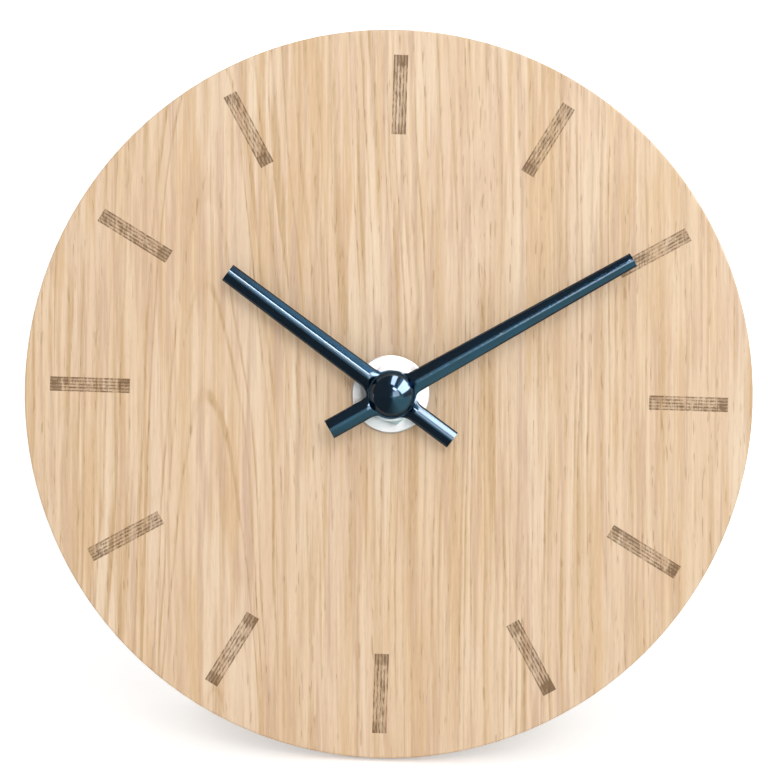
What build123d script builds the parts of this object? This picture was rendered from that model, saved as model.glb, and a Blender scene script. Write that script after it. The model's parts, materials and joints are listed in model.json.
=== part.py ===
from build123d import *
from math import cos, radians, sin, sqrt
import os

# Wooden desk clock: a round wooden dial that leans back on a bent steel stand,
# with two hands on the front and a battery movement behind it.
# Millimetres and degrees. Front towards -Y, up +Z, origin on the desk under the middle.

# Dial
dial_diameter = 150
dial_thickness = 4
dial_lean = 12
rim_round = 0.4
hour_count = 12
mark_length = 16.3
mark_width = 2.9
mark_lines = 5
line_width = 0.24
line_depth = 0.1
mark_rim_margin = 5.2

# Washer and nut that clamp the dial
bushing_radius = 4
washer_diameter = 16
washer_thickness = 1
washer_edge = 0.25
nut_across_flats = 11
nut_height = 2.5
nut_corner_taper = 60
nut_turn = 13

# Stand and gasket
stand_sheet = 1.5
stand_bend = 2
stand_width = 24
stand_case_gap = 6
foot_setback = 38
foot_length = 8
foot_width = 68
foot_side = 6
foot_corner = 3
gasket_radius = 9
gasket_thickness = 1

# Threaded bushing
bushing_stand_off = 0.3
bushing_edge = 0.3
bushing_flange_radius = 5.2
bushing_flange = 0.6

# Hands
minute_clock_angle = 59
hour_clock_angle = 304.9
hand_sheet = 0.5
hand_rise = 1.2
hand_root_rise = 0.6
hand_flare = 3
flare_steps = 8
minute_hub_radius = 4.8
minute_reach = 56.5
minute_tail = 14.6
minute_root_width = 4.4
minute_tip_width = 3
minute_tail_width = 4.1
hour_hub_radius = 5
hour_reach = 41.7
hour_tail = 15.6
hour_root_width = 4.4
hour_tip_width = 3.9
hour_tail_width = 3.8
collet_stand_off = 0.5
collet_flange = 0.6
collet_neck = 0.5
collet_wall = 0.7
collet_lip = 0.7
hand_spacing = 0.8
cap_radius = 4.65
cap_height = 3.6
cap_skirt = 0.7

# Case of the movement
case_corner = 4
case_wall = 1.4
front_case_depth = 10
rear_wall = 1.2
rear_edge = 0.8
divider_wall = 1
cradle_count = 3
cradle_spacing = 16
cradle_rib = 1
notch_width = 14
notch_depth = 3.5
notch_corner = 1.5
knob_recess = 0.4
knob_recess_margin = 1.2
tab_spacing = 32
tab_width = 5.6
tab_thickness = 1
tab_reach = 4.7
tab_root = 2.5
tab_bar = 0.9
tab_side = 0.8
nib_height = 0.8
nib_length = 1.2

# Plates and pillars
plate_thickness = 0.8
bridge_thickness = 1
plate_margin = 2.2
pillar_radius = 1.6
pillar_pin_radius = 0.7
pillar_pin_depth = 1.1
pillar_clearance = 0.8
third_pillar_bearing = -36
motion_pillar_bearing = 26
stator_shoulder_radius = 2.2
cover_post_radius = 1.4

# Wheel train
hour_teeth = 32
motion_pinion_teeth = 8
motion_teeth = 30
cannon_teeth = 10
centre_teeth = 60
third_pinion_teeth = 8
third_teeth = 64
seconds_pinion_teeth = 8
seconds_teeth = 40
fifth_pinion_teeth = 8
fifth_teeth = 48
rotor_teeth = 8
motion_spacing = 10
motion_bearing = 90
going_spacing = 7.2
third_bearing = -20
fifth_bearing = 150
rotor_spacing = 7
rotor_bearing = 180
wheel_face = 0.8
layer_gap = 0.35
web_recess = 0.2
web_hub_radius = 1.9
web_rim = 0.9
web_hole_count = 5
minute_arbor_radius = 1.6
minute_thread_radius = 1.3
hour_pipe_radius = 2.5
centre_hub_radius = 2.7
seconds_arbor_radius = 0.4
train_arbor_radius = 0.4
pivot_radius = 0.25
motion_arbor_radius = 1
motion_pivot_radius = 0.6
knob_radius = 6
knob_height = 2.7
knob_stem_radius = 0.8
knob_grooves = 24
groove_radius = 0.4
knob_edge = 0.5

# Height above the root and width at that height, in modules and in shares of the tooth pitch
pinion_tooth_shares = ((-1.15, 0.38), (0, 0.44), (0.85, 0.24))
wheel_tooth_shares = ((-1, 0.56), (0.95, 0.28))

# Motor
magnet_radius = 3
magnet_height = 2
stator_air_gap = 0.5
stator_web = 0.65
stator_thickness = 1
stator_arm = 3
coil_middle = 4
coil_side_gap = 1.2
bobbin_length = 20
bobbin_width = 7.6
bobbin_depth = 7.2
bobbin_flange = 0.8
bobbin_wall = 0.8
core_width = 3
core_overhang = 3.4
winding_margin = 0.5
winding_corner = 1.6
saddle_width = 6
saddle_thickness = 1.2

# Circuit board
board_width = 13.4
board_height = 22.5
board_thickness = 1
board_side_gap = 1.3
board_top_gap = 2.1
board_stand_off = 1.5
board_boss_radius = 1.2
board_boss_inset = 2
chip_radius = 3
chip_height = 1.1
chip_round = 0.9
crystal_radius = 1
crystal_length = 6

# Battery and contacts
battery_radius = 7.25
battery_length = 50.5
battery_nub_radius = 2.75
battery_nub_height = 1.3
battery_edge = 0.5
battery_gap = 0.3
battery_recess = 0.3
contact_sheet = 0.4
contact_room = 0.65
contact_pad_width = 9
contact_pad_depth = 8
contact_strip = 3
contact_tab_length = 3.2
contact_riser_place = 18.5
tongue_width = 4
tongue_slot = 0.6
tongue_slot_length = 5

# Clearances
fit_gap = 0.02
running_gap = 0.06
hole_gap = 0.2
end_shake = 0.1
face_gap = 0.3
overrun = 1

# Dial frame: x to the right, y up the dial, z out of its front; its back face is at z = 0
lean = radians(dial_lean)
dial_radius = dial_diameter / 2
rim_lift = rim_round * (cos(lean) + sin(lean) - 1)
front_reach = (dial_radius - rim_round) * sin(lean) + (dial_thickness - rim_round) * cos(lean) + rim_round
foot_reach = foot_setback + foot_length - dial_radius * sin(lean)
dial_centre_y = (front_reach - foot_reach) / 2
dial_centre_z = dial_radius * cos(lean) - rim_lift
dial_plane = Plane(
    origin=(0, dial_centre_y, dial_centre_z), x_dir=(1, 0, 0), z_dir=(0, -cos(lean), sin(lean))
)
dial_axis = Axis(dial_plane.origin, dial_plane.z_dir)


def at(across, up, out):
    """Plane parallel to the dial through a point of the dial frame."""
    return Plane(
        origin=dial_plane.from_local_coords((across, up, out)),
        x_dir=dial_plane.x_dir,
        z_dir=dial_plane.z_dir,
    )


def sideways(across):
    """Plane facing right at a distance across the dial; its x runs up the dial and its y outwards."""
    return Plane(
        origin=dial_plane.from_local_coords((across, 0, 0)),
        x_dir=dial_plane.y_dir,
        z_dir=dial_plane.x_dir,
    )


def across_arm(clock_angle, distance, out):
    """Plane square to a hand's arm, at a distance from the hand axis; its y runs outwards."""
    turn = radians(clock_angle)
    away = dial_plane.x_dir * sin(turn) + dial_plane.y_dir * cos(turn)
    beside = dial_plane.y_dir * sin(turn) - dial_plane.x_dir * cos(turn)
    middle = dial_plane.from_local_coords((distance * sin(turn), distance * cos(turn), out))
    return Plane(origin=middle, x_dir=beside, z_dir=away)


def stepped_to(place, spacing, bearing):
    """Place of an arbor, at a spacing and bearing from another one."""
    turn = radians(bearing)
    return (place[0] + spacing * cos(turn), place[1] + spacing * sin(turn))


def shared_module(spacing, driver_teeth, driven_teeth):
    """Module of two meshed wheels from the spacing of their arbors."""
    return 2 * spacing / (driver_teeth + driven_teeth)


def meshed_phase(bearing, driver_teeth, driven_teeth):
    """Angle of a tooth of the driven wheel, in mesh with a driver that has a tooth at angle zero."""
    pitches = bearing * driver_teeth / 360
    return bearing + 180 - (0.5 - pitches) * 360 / driven_teeth


def toothed_outline(module, teeth, phase, tooth_shares):
    """Corners of a toothed rim that has the middle of one tooth at the phase angle."""
    flank = [(height, -width / 2) for height, width in tooth_shares]
    flank += [(height, width / 2) for height, width in reversed(tooth_shares)]
    corners = []
    for tooth in range(teeth):
        for height, turn in flank:
            radius = module * (teeth / 2 + height)
            angle = radians(phase + 360 / teeth * (tooth + turn))
            corners.append((radius * cos(angle), radius * sin(angle)))
    return corners


def toothed_disc(place, back, front, module, teeth, phase, tooth_shares):
    """Toothed disc between two heights of the dial frame."""
    with BuildPart() as disc:
        with BuildSketch(at(*place, back)):
            with BuildLine():
                Polyline(*toothed_outline(module, teeth, phase, tooth_shares), close=True)
            make_face()
        extrude(amount=front - back)
    return disc.part


def pinion(place, back, front, module, teeth, phase=0):
    """Small wheel whose narrow leaves stand on a thin root."""
    return toothed_disc(place, back, front, module, teeth, phase, pinion_tooth_shares)


def wheel(place, back, module, teeth, phase=0, hub_radius=web_hub_radius):
    """Wheel with a recessed and pierced web between its hub and its toothed rim."""
    front = back + wheel_face
    root_radius = module * (teeth / 2 + wheel_tooth_shares[0][0])
    web_radius = root_radius - web_rim
    web_middle = (hub_radius + web_radius) / 2
    with BuildPart() as disc:
        add(toothed_disc(place, back, front, module, teeth, phase, wheel_tooth_shares))
        for face, depth in ((back, web_recess), (front, -web_recess)):
            with BuildSketch(at(*place, face)):
                Circle(web_radius)
                Circle(hub_radius, mode=Mode.SUBTRACT)
            extrude(amount=depth, mode=Mode.SUBTRACT)
        with BuildSketch(at(*place, back)):
            with PolarLocations(web_middle, web_hole_count):
                Circle((web_radius - hub_radius) / 4)
        extrude(amount=wheel_face, mode=Mode.SUBTRACT)
    return disc.part


def turned(place, *corners):
    """Piece turned about an axis square to the dial, from corners of radius and height."""
    cut = Plane(
        origin=dial_plane.from_local_coords((*place, 0)),
        x_dir=dial_plane.x_dir,
        z_dir=-dial_plane.y_dir,
    )
    with BuildPart() as piece:
        with BuildSketch(cut):
            with BuildLine():
                Polyline(*corners, close=True)
            make_face()
        revolve(axis=Axis(cut.origin, dial_plane.z_dir))
    return piece.part


def tube(place, inner, outer, back, front):
    """Plain ring or tube between two heights."""
    return turned(place, (inner, back), (outer, back), (outer, front), (inner, front))


def hand_arm(clock_angle, stations, out):
    """Hollow half-round arm of pressed sheet, through stations of distance, width and height."""
    with BuildPart() as arm:
        for distance, width, height in stations:
            outer = width / 2
            inner = outer - hand_sheet
            with BuildSketch(across_arm(clock_angle, distance, out)):
                with BuildLine():
                    ThreePointArc((-outer, 0), (0, height), (outer, 0))
                    Line((outer, 0), (inner, 0))
                    ThreePointArc((inner, 0), (0, height - hand_sheet), (-inner, 0))
                    Line((-inner, 0), (-outer, 0))
                make_face()
        loft(ruled=True)
    return arm.part


def flare_stations(hub_radius, width):
    """Stations from the edge of a hub to the end of the round flares that lead into an arm."""
    flare_end = sqrt((hub_radius + hand_flare) ** 2 - (width / 2 + hand_flare) ** 2)
    flare_start = flare_end * hub_radius / (hub_radius + hand_flare)
    stations = []
    for step in range(flare_steps + 1):
        share = step / flare_steps
        distance = flare_start + (flare_end - flare_start) * share
        spread = hand_flare - sqrt(hand_flare**2 - (flare_end - distance) ** 2)
        rise = hand_rise - (hand_rise - hand_root_rise) * (1 - share) ** 2
        stations.append((distance, width + 2 * spread, rise))
    return stations


def hand_blank(clock_angle, hub_radius, back, arms):
    """Hand of pressed sheet: a flat hub, and an arm each way that flares out of it."""
    with BuildPart() as blank:
        with BuildSketch(at(*hand_place, back)):
            Circle(hub_radius)
        extrude(amount=hand_sheet)
        for turn, (width, reach, tip_width) in enumerate(arms):
            stations = flare_stations(hub_radius, width) + [(reach, tip_width, hand_rise)]
            add(hand_arm(clock_angle + 180 * turn, stations, back))
    return blank.part


def finish(piece, name):
    """Name a finished piece and write its file."""
    piece.part.label = name
    export_step(piece.part, f"parts/{name}.step")


os.makedirs("parts", exist_ok=True)

# Heights in the dial frame, from the front of the clock to its back
washer_front = dial_thickness + washer_thickness
nut_front = washer_front + nut_height
bushing_front = nut_front + bushing_stand_off
stand_back = -stand_sheet
case_front = stand_back - gasket_thickness
front_wall_back = case_front - case_wall
case_seam = case_front - front_case_depth
battery_out = front_wall_back - battery_gap - battery_radius
case_back = battery_out - battery_radius - battery_recess
rear_cover_depth = case_seam - case_back
rear_wall_front = case_back + rear_wall
flange_back = front_wall_back - bushing_flange
hour_front = flange_back - layer_gap
hour_back = hour_front - wheel_face
motion_front = hour_back - layer_gap
motion_back = motion_front - wheel_face
plate_front = motion_back - layer_gap
plate_back = plate_front - plate_thickness
centre_front = plate_back - layer_gap
centre_back = centre_front - wheel_face
third_front = centre_back - layer_gap
third_back = third_front - wheel_face
seconds_front = third_back - layer_gap
seconds_back = seconds_front - wheel_face
fifth_front = seconds_back - layer_gap
fifth_back = fifth_front - wheel_face
bridge_front = fifth_back - layer_gap
bridge_back = bridge_front - bridge_thickness

# Heights of the hands
hour_collet_back = bushing_front + collet_stand_off
hour_hand_back = hour_collet_back + collet_flange
hour_collet_front = hour_hand_back + hand_sheet + collet_neck
hour_pipe_front = hour_collet_front + face_gap
minute_collet_back = hour_pipe_front + hand_spacing
minute_hand_back = minute_collet_back + collet_flange
minute_collet_front = minute_hand_back + hand_rise + fit_gap
cap_front = minute_collet_front + cap_height
minute_arbor_front = cap_front - cap_height / 2

# Places of the arbors across the dial
hand_place = (0, 0)
motion_place = stepped_to(hand_place, motion_spacing, motion_bearing)
third_place = stepped_to(hand_place, going_spacing, third_bearing)
fifth_place = stepped_to(hand_place, going_spacing, fifth_bearing)
rotor_place = stepped_to(fifth_place, rotor_spacing, rotor_bearing)
hour_module = shared_module(motion_spacing, motion_pinion_teeth, hour_teeth)
motion_module = shared_module(motion_spacing, cannon_teeth, motion_teeth)
centre_module = shared_module(going_spacing, third_pinion_teeth, centre_teeth)
third_module = shared_module(going_spacing, seconds_pinion_teeth, third_teeth)
seconds_module = shared_module(going_spacing, seconds_teeth, fifth_pinion_teeth)
fifth_module = shared_module(rotor_spacing, fifth_teeth, rotor_teeth)

# Stator, coil and the pillars that carry them
stator_front = (third_front + third_back + stator_thickness) / 2
stator_back = stator_front - stator_thickness
stator_hole_radius = magnet_radius + stator_air_gap
stator_half = stator_hole_radius + stator_web
coil_across = rotor_place[0] - stator_half - face_gap - bobbin_width / 2
coil_out = stator_front + stator_thickness / 2
core_half = bobbin_length / 2 + core_overhang
arm_up = core_half - stator_arm / 2
third_tip_radius = third_module * (third_teeth / 2 + wheel_tooth_shares[1][0])
motion_tip_radius = motion_module * (motion_teeth / 2 + wheel_tooth_shares[1][0])
pillar_step = pillar_radius + pillar_clearance
pillar_places = (
    (rotor_place[0], coil_middle + arm_up),
    (rotor_place[0], coil_middle - arm_up),
    stepped_to(third_place, third_tip_radius + pillar_step, third_pillar_bearing),
    stepped_to(motion_place, motion_tip_radius + pillar_step, motion_pillar_bearing),
)

# Inside of the case: battery bay below, divider wall, movement above, circuit board at the right.
# It is as wide and as high as the battery and the movement need.
board_left = pillar_places[3][0] + plate_margin + face_gap
plates_low = min(up for across, up in pillar_places) - plate_margin
contact_face = battery_length / 2 + battery_gap
cavity_half = max(
    contact_face + contact_sheet + contact_room,
    board_left + board_width + board_side_gap,
    bobbin_width / 2 - coil_across + coil_side_gap,
    2 * (battery_radius + battery_gap) + divider_wall + face_gap - plates_low,
)
case_side = 2 * (cavity_half + case_wall)
battery_up = battery_radius + battery_gap - cavity_half
divider_low = battery_up + battery_radius + battery_gap
divider_high = divider_low + divider_wall
divider_half = contact_face - battery_gap

# Wooden dial with its engraved hour marks
with BuildPart() as dial_disc:
    with BuildSketch(at(*hand_place, 0)):
        Circle(dial_radius)
    extrude(amount=dial_thickness)
    fillet(dial_disc.edges(), rim_round)
    with BuildSketch(at(*hand_place, 0)):
        Circle(bushing_radius + hole_gap)
    extrude(amount=dial_thickness, mode=Mode.SUBTRACT)
    with BuildSketch(at(*hand_place, dial_thickness)):
        with PolarLocations(dial_radius - mark_rim_margin - mark_length / 2, hour_count):
            with GridLocations(0, (mark_width - line_width) / (mark_lines - 1), 1, mark_lines):
                Rectangle(mark_length, line_width)
            with GridLocations(mark_length - line_width, 0, 2, 1):
                Rectangle(line_width, mark_width)
    extrude(amount=-line_depth, mode=Mode.SUBTRACT)
finish(dial_disc, "dial_disc")

# Washer with a slightly bevelled edge
with BuildPart() as dial_washer:
    with BuildSketch(at(*hand_place, dial_thickness)):
        Circle(washer_diameter / 2)
        Circle(bushing_radius + hole_gap, mode=Mode.SUBTRACT)
    extrude(amount=washer_thickness)
    rim = dial_washer.edges().filter_by(GeomType.CIRCLE).sort_by(SortBy.RADIUS)[-2:]
    chamfer(rim.sort_by(dial_axis)[-1:], washer_edge)
finish(dial_washer, "dial_washer")

# Hexagon nut, with its corners turned off on the front
with BuildPart() as dial_nut:
    with BuildSketch(at(*hand_place, washer_front)):
        RegularPolygon(nut_across_flats / 2, 6, major_radius=False, rotation=90 + nut_turn)
    extrude(amount=nut_height)
    with BuildSketch(at(*hand_place, nut_front)):
        Circle(nut_across_flats / 2)
    extrude(amount=-nut_height, taper=-nut_corner_taper, mode=Mode.INTERSECT)
    with BuildSketch(at(*hand_place, washer_front)):
        Circle(bushing_radius + fit_gap)
    extrude(amount=nut_height, mode=Mode.SUBTRACT)
finish(dial_nut, "dial_nut")

# Threaded bushing that carries the dial; its flange lies behind the front wall of the case
bushing_bore = hour_pipe_radius + running_gap
with BuildPart() as threaded_bushing:
    add(
        turned(
            hand_place,
            (bushing_bore, flange_back),
            (bushing_flange_radius, flange_back),
            (bushing_flange_radius, front_wall_back),
            (bushing_radius, front_wall_back),
            (bushing_radius, bushing_front - bushing_edge),
            (bushing_radius - bushing_edge, bushing_front),
            (bushing_bore, bushing_front),
        )
    )
finish(threaded_bushing, "threaded_bushing")

# Stand of bent sheet: upright behind the dial, sloping leg and a flat foot on the desk
stand_neck = stand_width / 2
stand_bend_up = -case_side / 2 - stand_case_gap
contact_y = dial_centre_y - dial_radius * sin(lean)
stand_top = dial_plane.from_local_coords((0, stand_neck + overrun, 0))
stand_knee = dial_plane.from_local_coords((0, stand_bend_up, 0))
foot_front_y = contact_y + foot_setback
foot_low = dial_plane.to_local_coords(Vector(0, foot_front_y, 0)).Y - foot_side
with BuildPart() as stand_bracket:
    with BuildSketch(Plane.YZ):
        with BuildLine():
            FilletPolyline(
                (stand_top.Y, stand_top.Z),
                (stand_knee.Y, stand_knee.Z),
                (foot_front_y, 0),
                (foot_front_y + foot_length, 0),
                radius=stand_bend + stand_sheet,
            )
            offset(amount=stand_sheet, side=Side.LEFT)
        make_face()
    extrude(amount=foot_width / 2, both=True)
    with BuildSketch(at(*hand_place, 0)):
        Circle(stand_neck)
        with BuildLine():
            Polyline(
                (-stand_neck, 0),
                (stand_neck, 0),
                (stand_neck, stand_bend_up),
                (foot_width / 2, foot_low + 2 * foot_side),
                (foot_width / 2, foot_low),
                (-foot_width / 2, foot_low),
                (-foot_width / 2, foot_low + 2 * foot_side),
                (-stand_neck, stand_bend_up),
                close=True,
            )
        make_face()
    extrude(amount=dial_radius, both=True, mode=Mode.INTERSECT)
    with BuildSketch(at(*hand_place, 0)):
        Circle(bushing_radius + hole_gap)
    extrude(amount=-stand_sheet, mode=Mode.SUBTRACT)
    fillet(stand_bracket.edges().filter_by(Axis.Z).group_by(Axis.Y)[-1], foot_corner)
finish(stand_bracket, "stand_bracket")

# Rubber ring between the stand and the movement
with BuildPart() as rubber_gasket:
    add(tube(hand_place, bushing_radius + hole_gap, gasket_radius, case_front, stand_back))
finish(rubber_gasket, "rubber_gasket")

# Hour hand, pressed from sheet, and the brass collet riveted into its hub
hour_neck_radius = hour_pipe_radius + collet_wall
with BuildPart() as hour_hand:
    add(
        hand_blank(
            hour_clock_angle,
            hour_hub_radius,
            hour_hand_back,
            (
                (hour_root_width, hour_reach, hour_tip_width),
                (hour_tail_width, hour_tail, hour_tail_width),
            ),
        )
    )
    with BuildSketch(at(*hand_place, hour_hand_back)):
        Circle(hour_neck_radius + fit_gap)
    extrude(amount=hand_rise, mode=Mode.SUBTRACT)
finish(hour_hand, "hour_hand")

with BuildPart() as hour_collet:
    add(
        turned(
            hand_place,
            (hour_pipe_radius + fit_gap, hour_collet_back),
            (hour_neck_radius + collet_lip, hour_collet_back),
            (hour_neck_radius + collet_lip, hour_hand_back),
            (hour_neck_radius, hour_hand_back),
            (hour_neck_radius, hour_collet_front),
            (hour_pipe_radius + fit_gap, hour_collet_front),
        )
    )
finish(hour_collet, "hour_collet")

# Minute hand and its collet
minute_neck_radius = minute_thread_radius + collet_wall
with BuildPart() as minute_hand:
    add(
        hand_blank(
            minute_clock_angle,
            minute_hub_radius,
            minute_hand_back,
            (
                (minute_root_width, minute_reach, minute_tip_width),
                (minute_tail_width, minute_tail, minute_tail_width),
            ),
        )
    )
    with BuildSketch(at(*hand_place, minute_hand_back)):
        Circle(minute_neck_radius + fit_gap)
    extrude(amount=hand_rise, mode=Mode.SUBTRACT)
finish(minute_hand, "minute_hand")

with BuildPart() as minute_collet:
    add(
        turned(
            hand_place,
            (minute_thread_radius + fit_gap, minute_collet_back),
            (minute_neck_radius + collet_lip, minute_collet_back),
            (minute_neck_radius + collet_lip, minute_hand_back),
            (minute_neck_radius, minute_hand_back),
            (minute_neck_radius, minute_collet_front),
            (minute_thread_radius + fit_gap, minute_collet_front),
        )
    )
finish(minute_collet, "minute_collet")

# Domed cap that screws on over the minute hand
dome_height = cap_height - cap_skirt
dome_radius = (cap_radius**2 + dome_height**2) / (2 * dome_height)
with BuildPart() as hand_cap:
    with BuildSketch(at(*hand_place, minute_collet_front)):
        Circle(cap_radius)
    extrude(amount=cap_height)
    with Locations(at(*hand_place, cap_front - dome_radius)):
        Sphere(dome_radius, mode=Mode.INTERSECT)
    with BuildSketch(at(*hand_place, minute_collet_front)):
        Circle(minute_thread_radius + fit_gap)
    extrude(amount=minute_arbor_front + end_shake - minute_collet_front, mode=Mode.SUBTRACT)
finish(hand_cap, "hand_cap")

# Front half of the case, with the battery bay, the pillars and the seats of what it holds
board_right = board_left + board_width
board_top = cavity_half - board_top_gap
board_across = board_right - board_width / 2
board_up = board_top - board_height / 2
board_front = front_wall_back - board_stand_off
board_back = board_front - board_thickness
boss_x = board_width / 2 - board_boss_inset
boss_y = board_height / 2 - board_boss_inset
motion_pivot_front = front_wall_back + case_wall / 2
nib_front = case_seam + tab_reach - tab_bar - hole_gap
with BuildPart() as front_case:
    with BuildSketch(at(*hand_place, case_front)):
        RectangleRounded(case_side, case_side, case_corner)
    extrude(amount=-front_case_depth)
    with BuildSketch(at(*hand_place, front_wall_back)):
        RectangleRounded(2 * cavity_half, 2 * cavity_half, case_corner - case_wall)
    extrude(amount=case_seam - front_wall_back, mode=Mode.SUBTRACT)
    with BuildSketch(at(*hand_place, front_wall_back)):
        Circle(bushing_radius + fit_gap)
    extrude(amount=case_wall, mode=Mode.SUBTRACT)
    with BuildSketch(at(*motion_place, front_wall_back)):
        Circle(motion_pivot_radius + running_gap)
    extrude(amount=motion_pivot_front + end_shake - front_wall_back, mode=Mode.SUBTRACT)
    with BuildSketch(at(0, (divider_low + divider_high) / 2, front_wall_back)):
        Rectangle(2 * divider_half, divider_wall)
    extrude(amount=rear_wall_front - front_wall_back)
    with BuildSketch(at(*hand_place, front_wall_back)):
        with Locations(*pillar_places):
            Circle(pillar_radius)
    extrude(amount=plate_front - front_wall_back)
    with BuildSketch(at(*hand_place, plate_front)):
        with Locations(*pillar_places):
            Circle(pillar_pin_radius)
    extrude(amount=-plate_thickness - pillar_pin_depth)
    with BuildSketch(at(board_across, board_up, front_wall_back)):
        with GridLocations(2 * boss_x, 2 * boss_y, 2, 2):
            Circle(board_boss_radius)
    extrude(amount=-board_stand_off)
    with BuildSketch(at(coil_across, coil_middle, front_wall_back)):
        with GridLocations(0, bobbin_length - bobbin_flange, 1, 2):
            Rectangle(saddle_width, saddle_thickness)
    extrude(amount=coil_out + bobbin_depth / 2 - front_wall_back)
    for rib in range(cradle_count):
        with BuildSketch(sideways(cradle_spacing * (rib - (cradle_count - 1) / 2))):
            with Locations((battery_up, (battery_out + front_wall_back) / 2)):
                Rectangle(2 * (battery_radius + battery_gap), front_wall_back - battery_out)
            with Locations((battery_up, battery_out)):
                Circle(battery_radius + battery_gap, mode=Mode.SUBTRACT)
        extrude(amount=cradle_rib / 2, both=True)
    for side in (1, -1):
        for across in (tab_spacing / 2, -tab_spacing / 2):
            with BuildSketch(sideways(across)):
                with BuildLine():
                    Polyline(
                        (side * case_side / 2, nib_front),
                        (side * (case_side / 2 + nib_height), nib_front),
                        (side * case_side / 2, nib_front - nib_length),
                        close=True,
                    )
                make_face()
            extrude(amount=tab_width / 2 - tab_side - hole_gap, both=True)
finish(front_case, "front_case")

# Rear cover with its latch tabs, the posts that hold the bridge, and the way to the battery,
# with a notch for a finger in the wall below it
notch_plane = Plane(
    origin=dial_plane.from_local_coords((0, -case_side / 2 - overrun / 2, case_back)),
    x_dir=dial_plane.x_dir,
    z_dir=dial_plane.y_dir,
)
with BuildPart() as rear_cover:
    with BuildSketch(at(*hand_place, case_back)):
        RectangleRounded(case_side, case_side, case_corner)
    extrude(amount=rear_cover_depth)
    fillet(rear_cover.edges().group_by(dial_axis)[0], rear_edge)
    with BuildSketch(at(*hand_place, rear_wall_front)):
        RectangleRounded(2 * cavity_half, 2 * cavity_half, case_corner - case_wall)
    extrude(amount=case_seam - rear_wall_front, mode=Mode.SUBTRACT)
    with BuildSketch(at(*hand_place, rear_wall_front)):
        with Locations(*pillar_places):
            Circle(cover_post_radius)
        with Locations(motion_place):
            Circle(motion_arbor_radius + rear_wall)
    extrude(amount=bridge_back - rear_wall_front)
    with BuildSketch(at(*motion_place, case_back)):
        Circle(motion_arbor_radius + running_gap)
    extrude(amount=bridge_back - case_back, mode=Mode.SUBTRACT)
    with BuildSketch(at(0, (divider_low - cavity_half) / 2, case_back)):
        Rectangle(2 * (contact_face + contact_sheet), divider_low + cavity_half)
    extrude(amount=rear_wall, mode=Mode.SUBTRACT)
    with BuildSketch(at(*motion_place, case_back)):
        Circle(knob_radius + knob_recess_margin)
    extrude(amount=knob_recess, mode=Mode.SUBTRACT)
    with BuildSketch(notch_plane):
        RectangleRounded(notch_width, 2 * notch_depth, notch_corner)
    extrude(amount=case_wall + overrun, mode=Mode.SUBTRACT)
    for side in (1, -1):
        for across in (tab_spacing / 2, -tab_spacing / 2):
            with BuildSketch(sideways(across)):
                with BuildLine():
                    Polyline(
                        (side * (case_side / 2 - rear_wall), case_seam - tab_root),
                        (side * (case_side / 2 + tab_thickness), case_seam - tab_root),
                        (side * (case_side / 2 + tab_thickness), case_seam + tab_reach),
                        (side * (case_side / 2 + hole_gap), case_seam + tab_reach),
                        (side * (case_side / 2 + hole_gap), case_seam),
                        (side * (case_side / 2 - rear_wall), case_seam),
                        close=True,
                    )
                make_face()
            extrude(amount=tab_width / 2, both=True)
            with BuildSketch(at(across, side * case_side / 2, case_seam + tab_reach - tab_bar)):
                Rectangle(tab_width - 2 * tab_side, 2 * tab_thickness + 2 * hole_gap)
            extrude(amount=-nib_length - 2 * hole_gap, mode=Mode.SUBTRACT)
finish(rear_cover, "rear_cover")

# Middle plate, between the wheels that drive the hands and the going wheels
arbor_places = (third_place, fifth_place, rotor_place)
with BuildPart() as middle_plate:
    with BuildSketch(at(*hand_place, plate_back)):
        with Locations(*pillar_places):
            Circle(plate_margin)
        make_hull()
        with Locations(*pillar_places):
            Circle(pillar_pin_radius + running_gap, mode=Mode.SUBTRACT)
        with Locations(*arbor_places):
            Circle(pivot_radius + running_gap, mode=Mode.SUBTRACT)
        with Locations(hand_place):
            Circle(minute_arbor_radius + running_gap, mode=Mode.SUBTRACT)
        with Locations(motion_place):
            Circle(motion_arbor_radius + running_gap, mode=Mode.SUBTRACT)
    extrude(amount=plate_thickness)
finish(middle_plate, "middle_plate")

# Bridge that holds the rear ends of the arbors, with the pillars that carry the stator
stator_pillars = pillar_places[:2]
with BuildPart() as train_bridge:
    with BuildSketch(at(*hand_place, bridge_back)):
        with Locations(*pillar_places):
            Circle(plate_margin)
        make_hull()
    extrude(amount=bridge_thickness)
    with BuildSketch(at(*hand_place, bridge_front)):
        with Locations(*pillar_places):
            Circle(pillar_radius)
    extrude(amount=plate_back - bridge_front)
    with BuildSketch(at(*hand_place, bridge_front)):
        with Locations(*stator_pillars):
            Circle(stator_shoulder_radius)
    extrude(amount=stator_back - bridge_front)
    with BuildSketch(at(*hand_place, plate_back)):
        with Locations(*pillar_places):
            Circle(pillar_pin_radius + running_gap)
    extrude(amount=-pillar_pin_depth - end_shake, mode=Mode.SUBTRACT)
    with BuildSketch(at(*hand_place, bridge_back)):
        with Locations(*arbor_places, hand_place):
            Circle(pivot_radius + running_gap)
        with Locations(motion_place):
            Circle(motion_arbor_radius + hole_gap)
    extrude(amount=bridge_thickness, mode=Mode.SUBTRACT)
finish(train_bridge, "train_bridge")

# Hour wheel on its pipe, which carries the hour hand
hour_bore = minute_arbor_radius + running_gap
hour_phase = meshed_phase(motion_bearing + 180, motion_pinion_teeth, hour_teeth)
with BuildPart() as hour_wheel:
    add(wheel(hand_place, hour_back, hour_module, hour_teeth, hour_phase, hour_pipe_radius + web_recess))
    add(tube(hand_place, hour_bore, hour_pipe_radius, hour_back, hour_pipe_front))
    with BuildSketch(at(*hand_place, hour_back)):
        Circle(hour_bore)
    extrude(amount=wheel_face, mode=Mode.SUBTRACT)
finish(hour_wheel, "hour_wheel")

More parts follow.
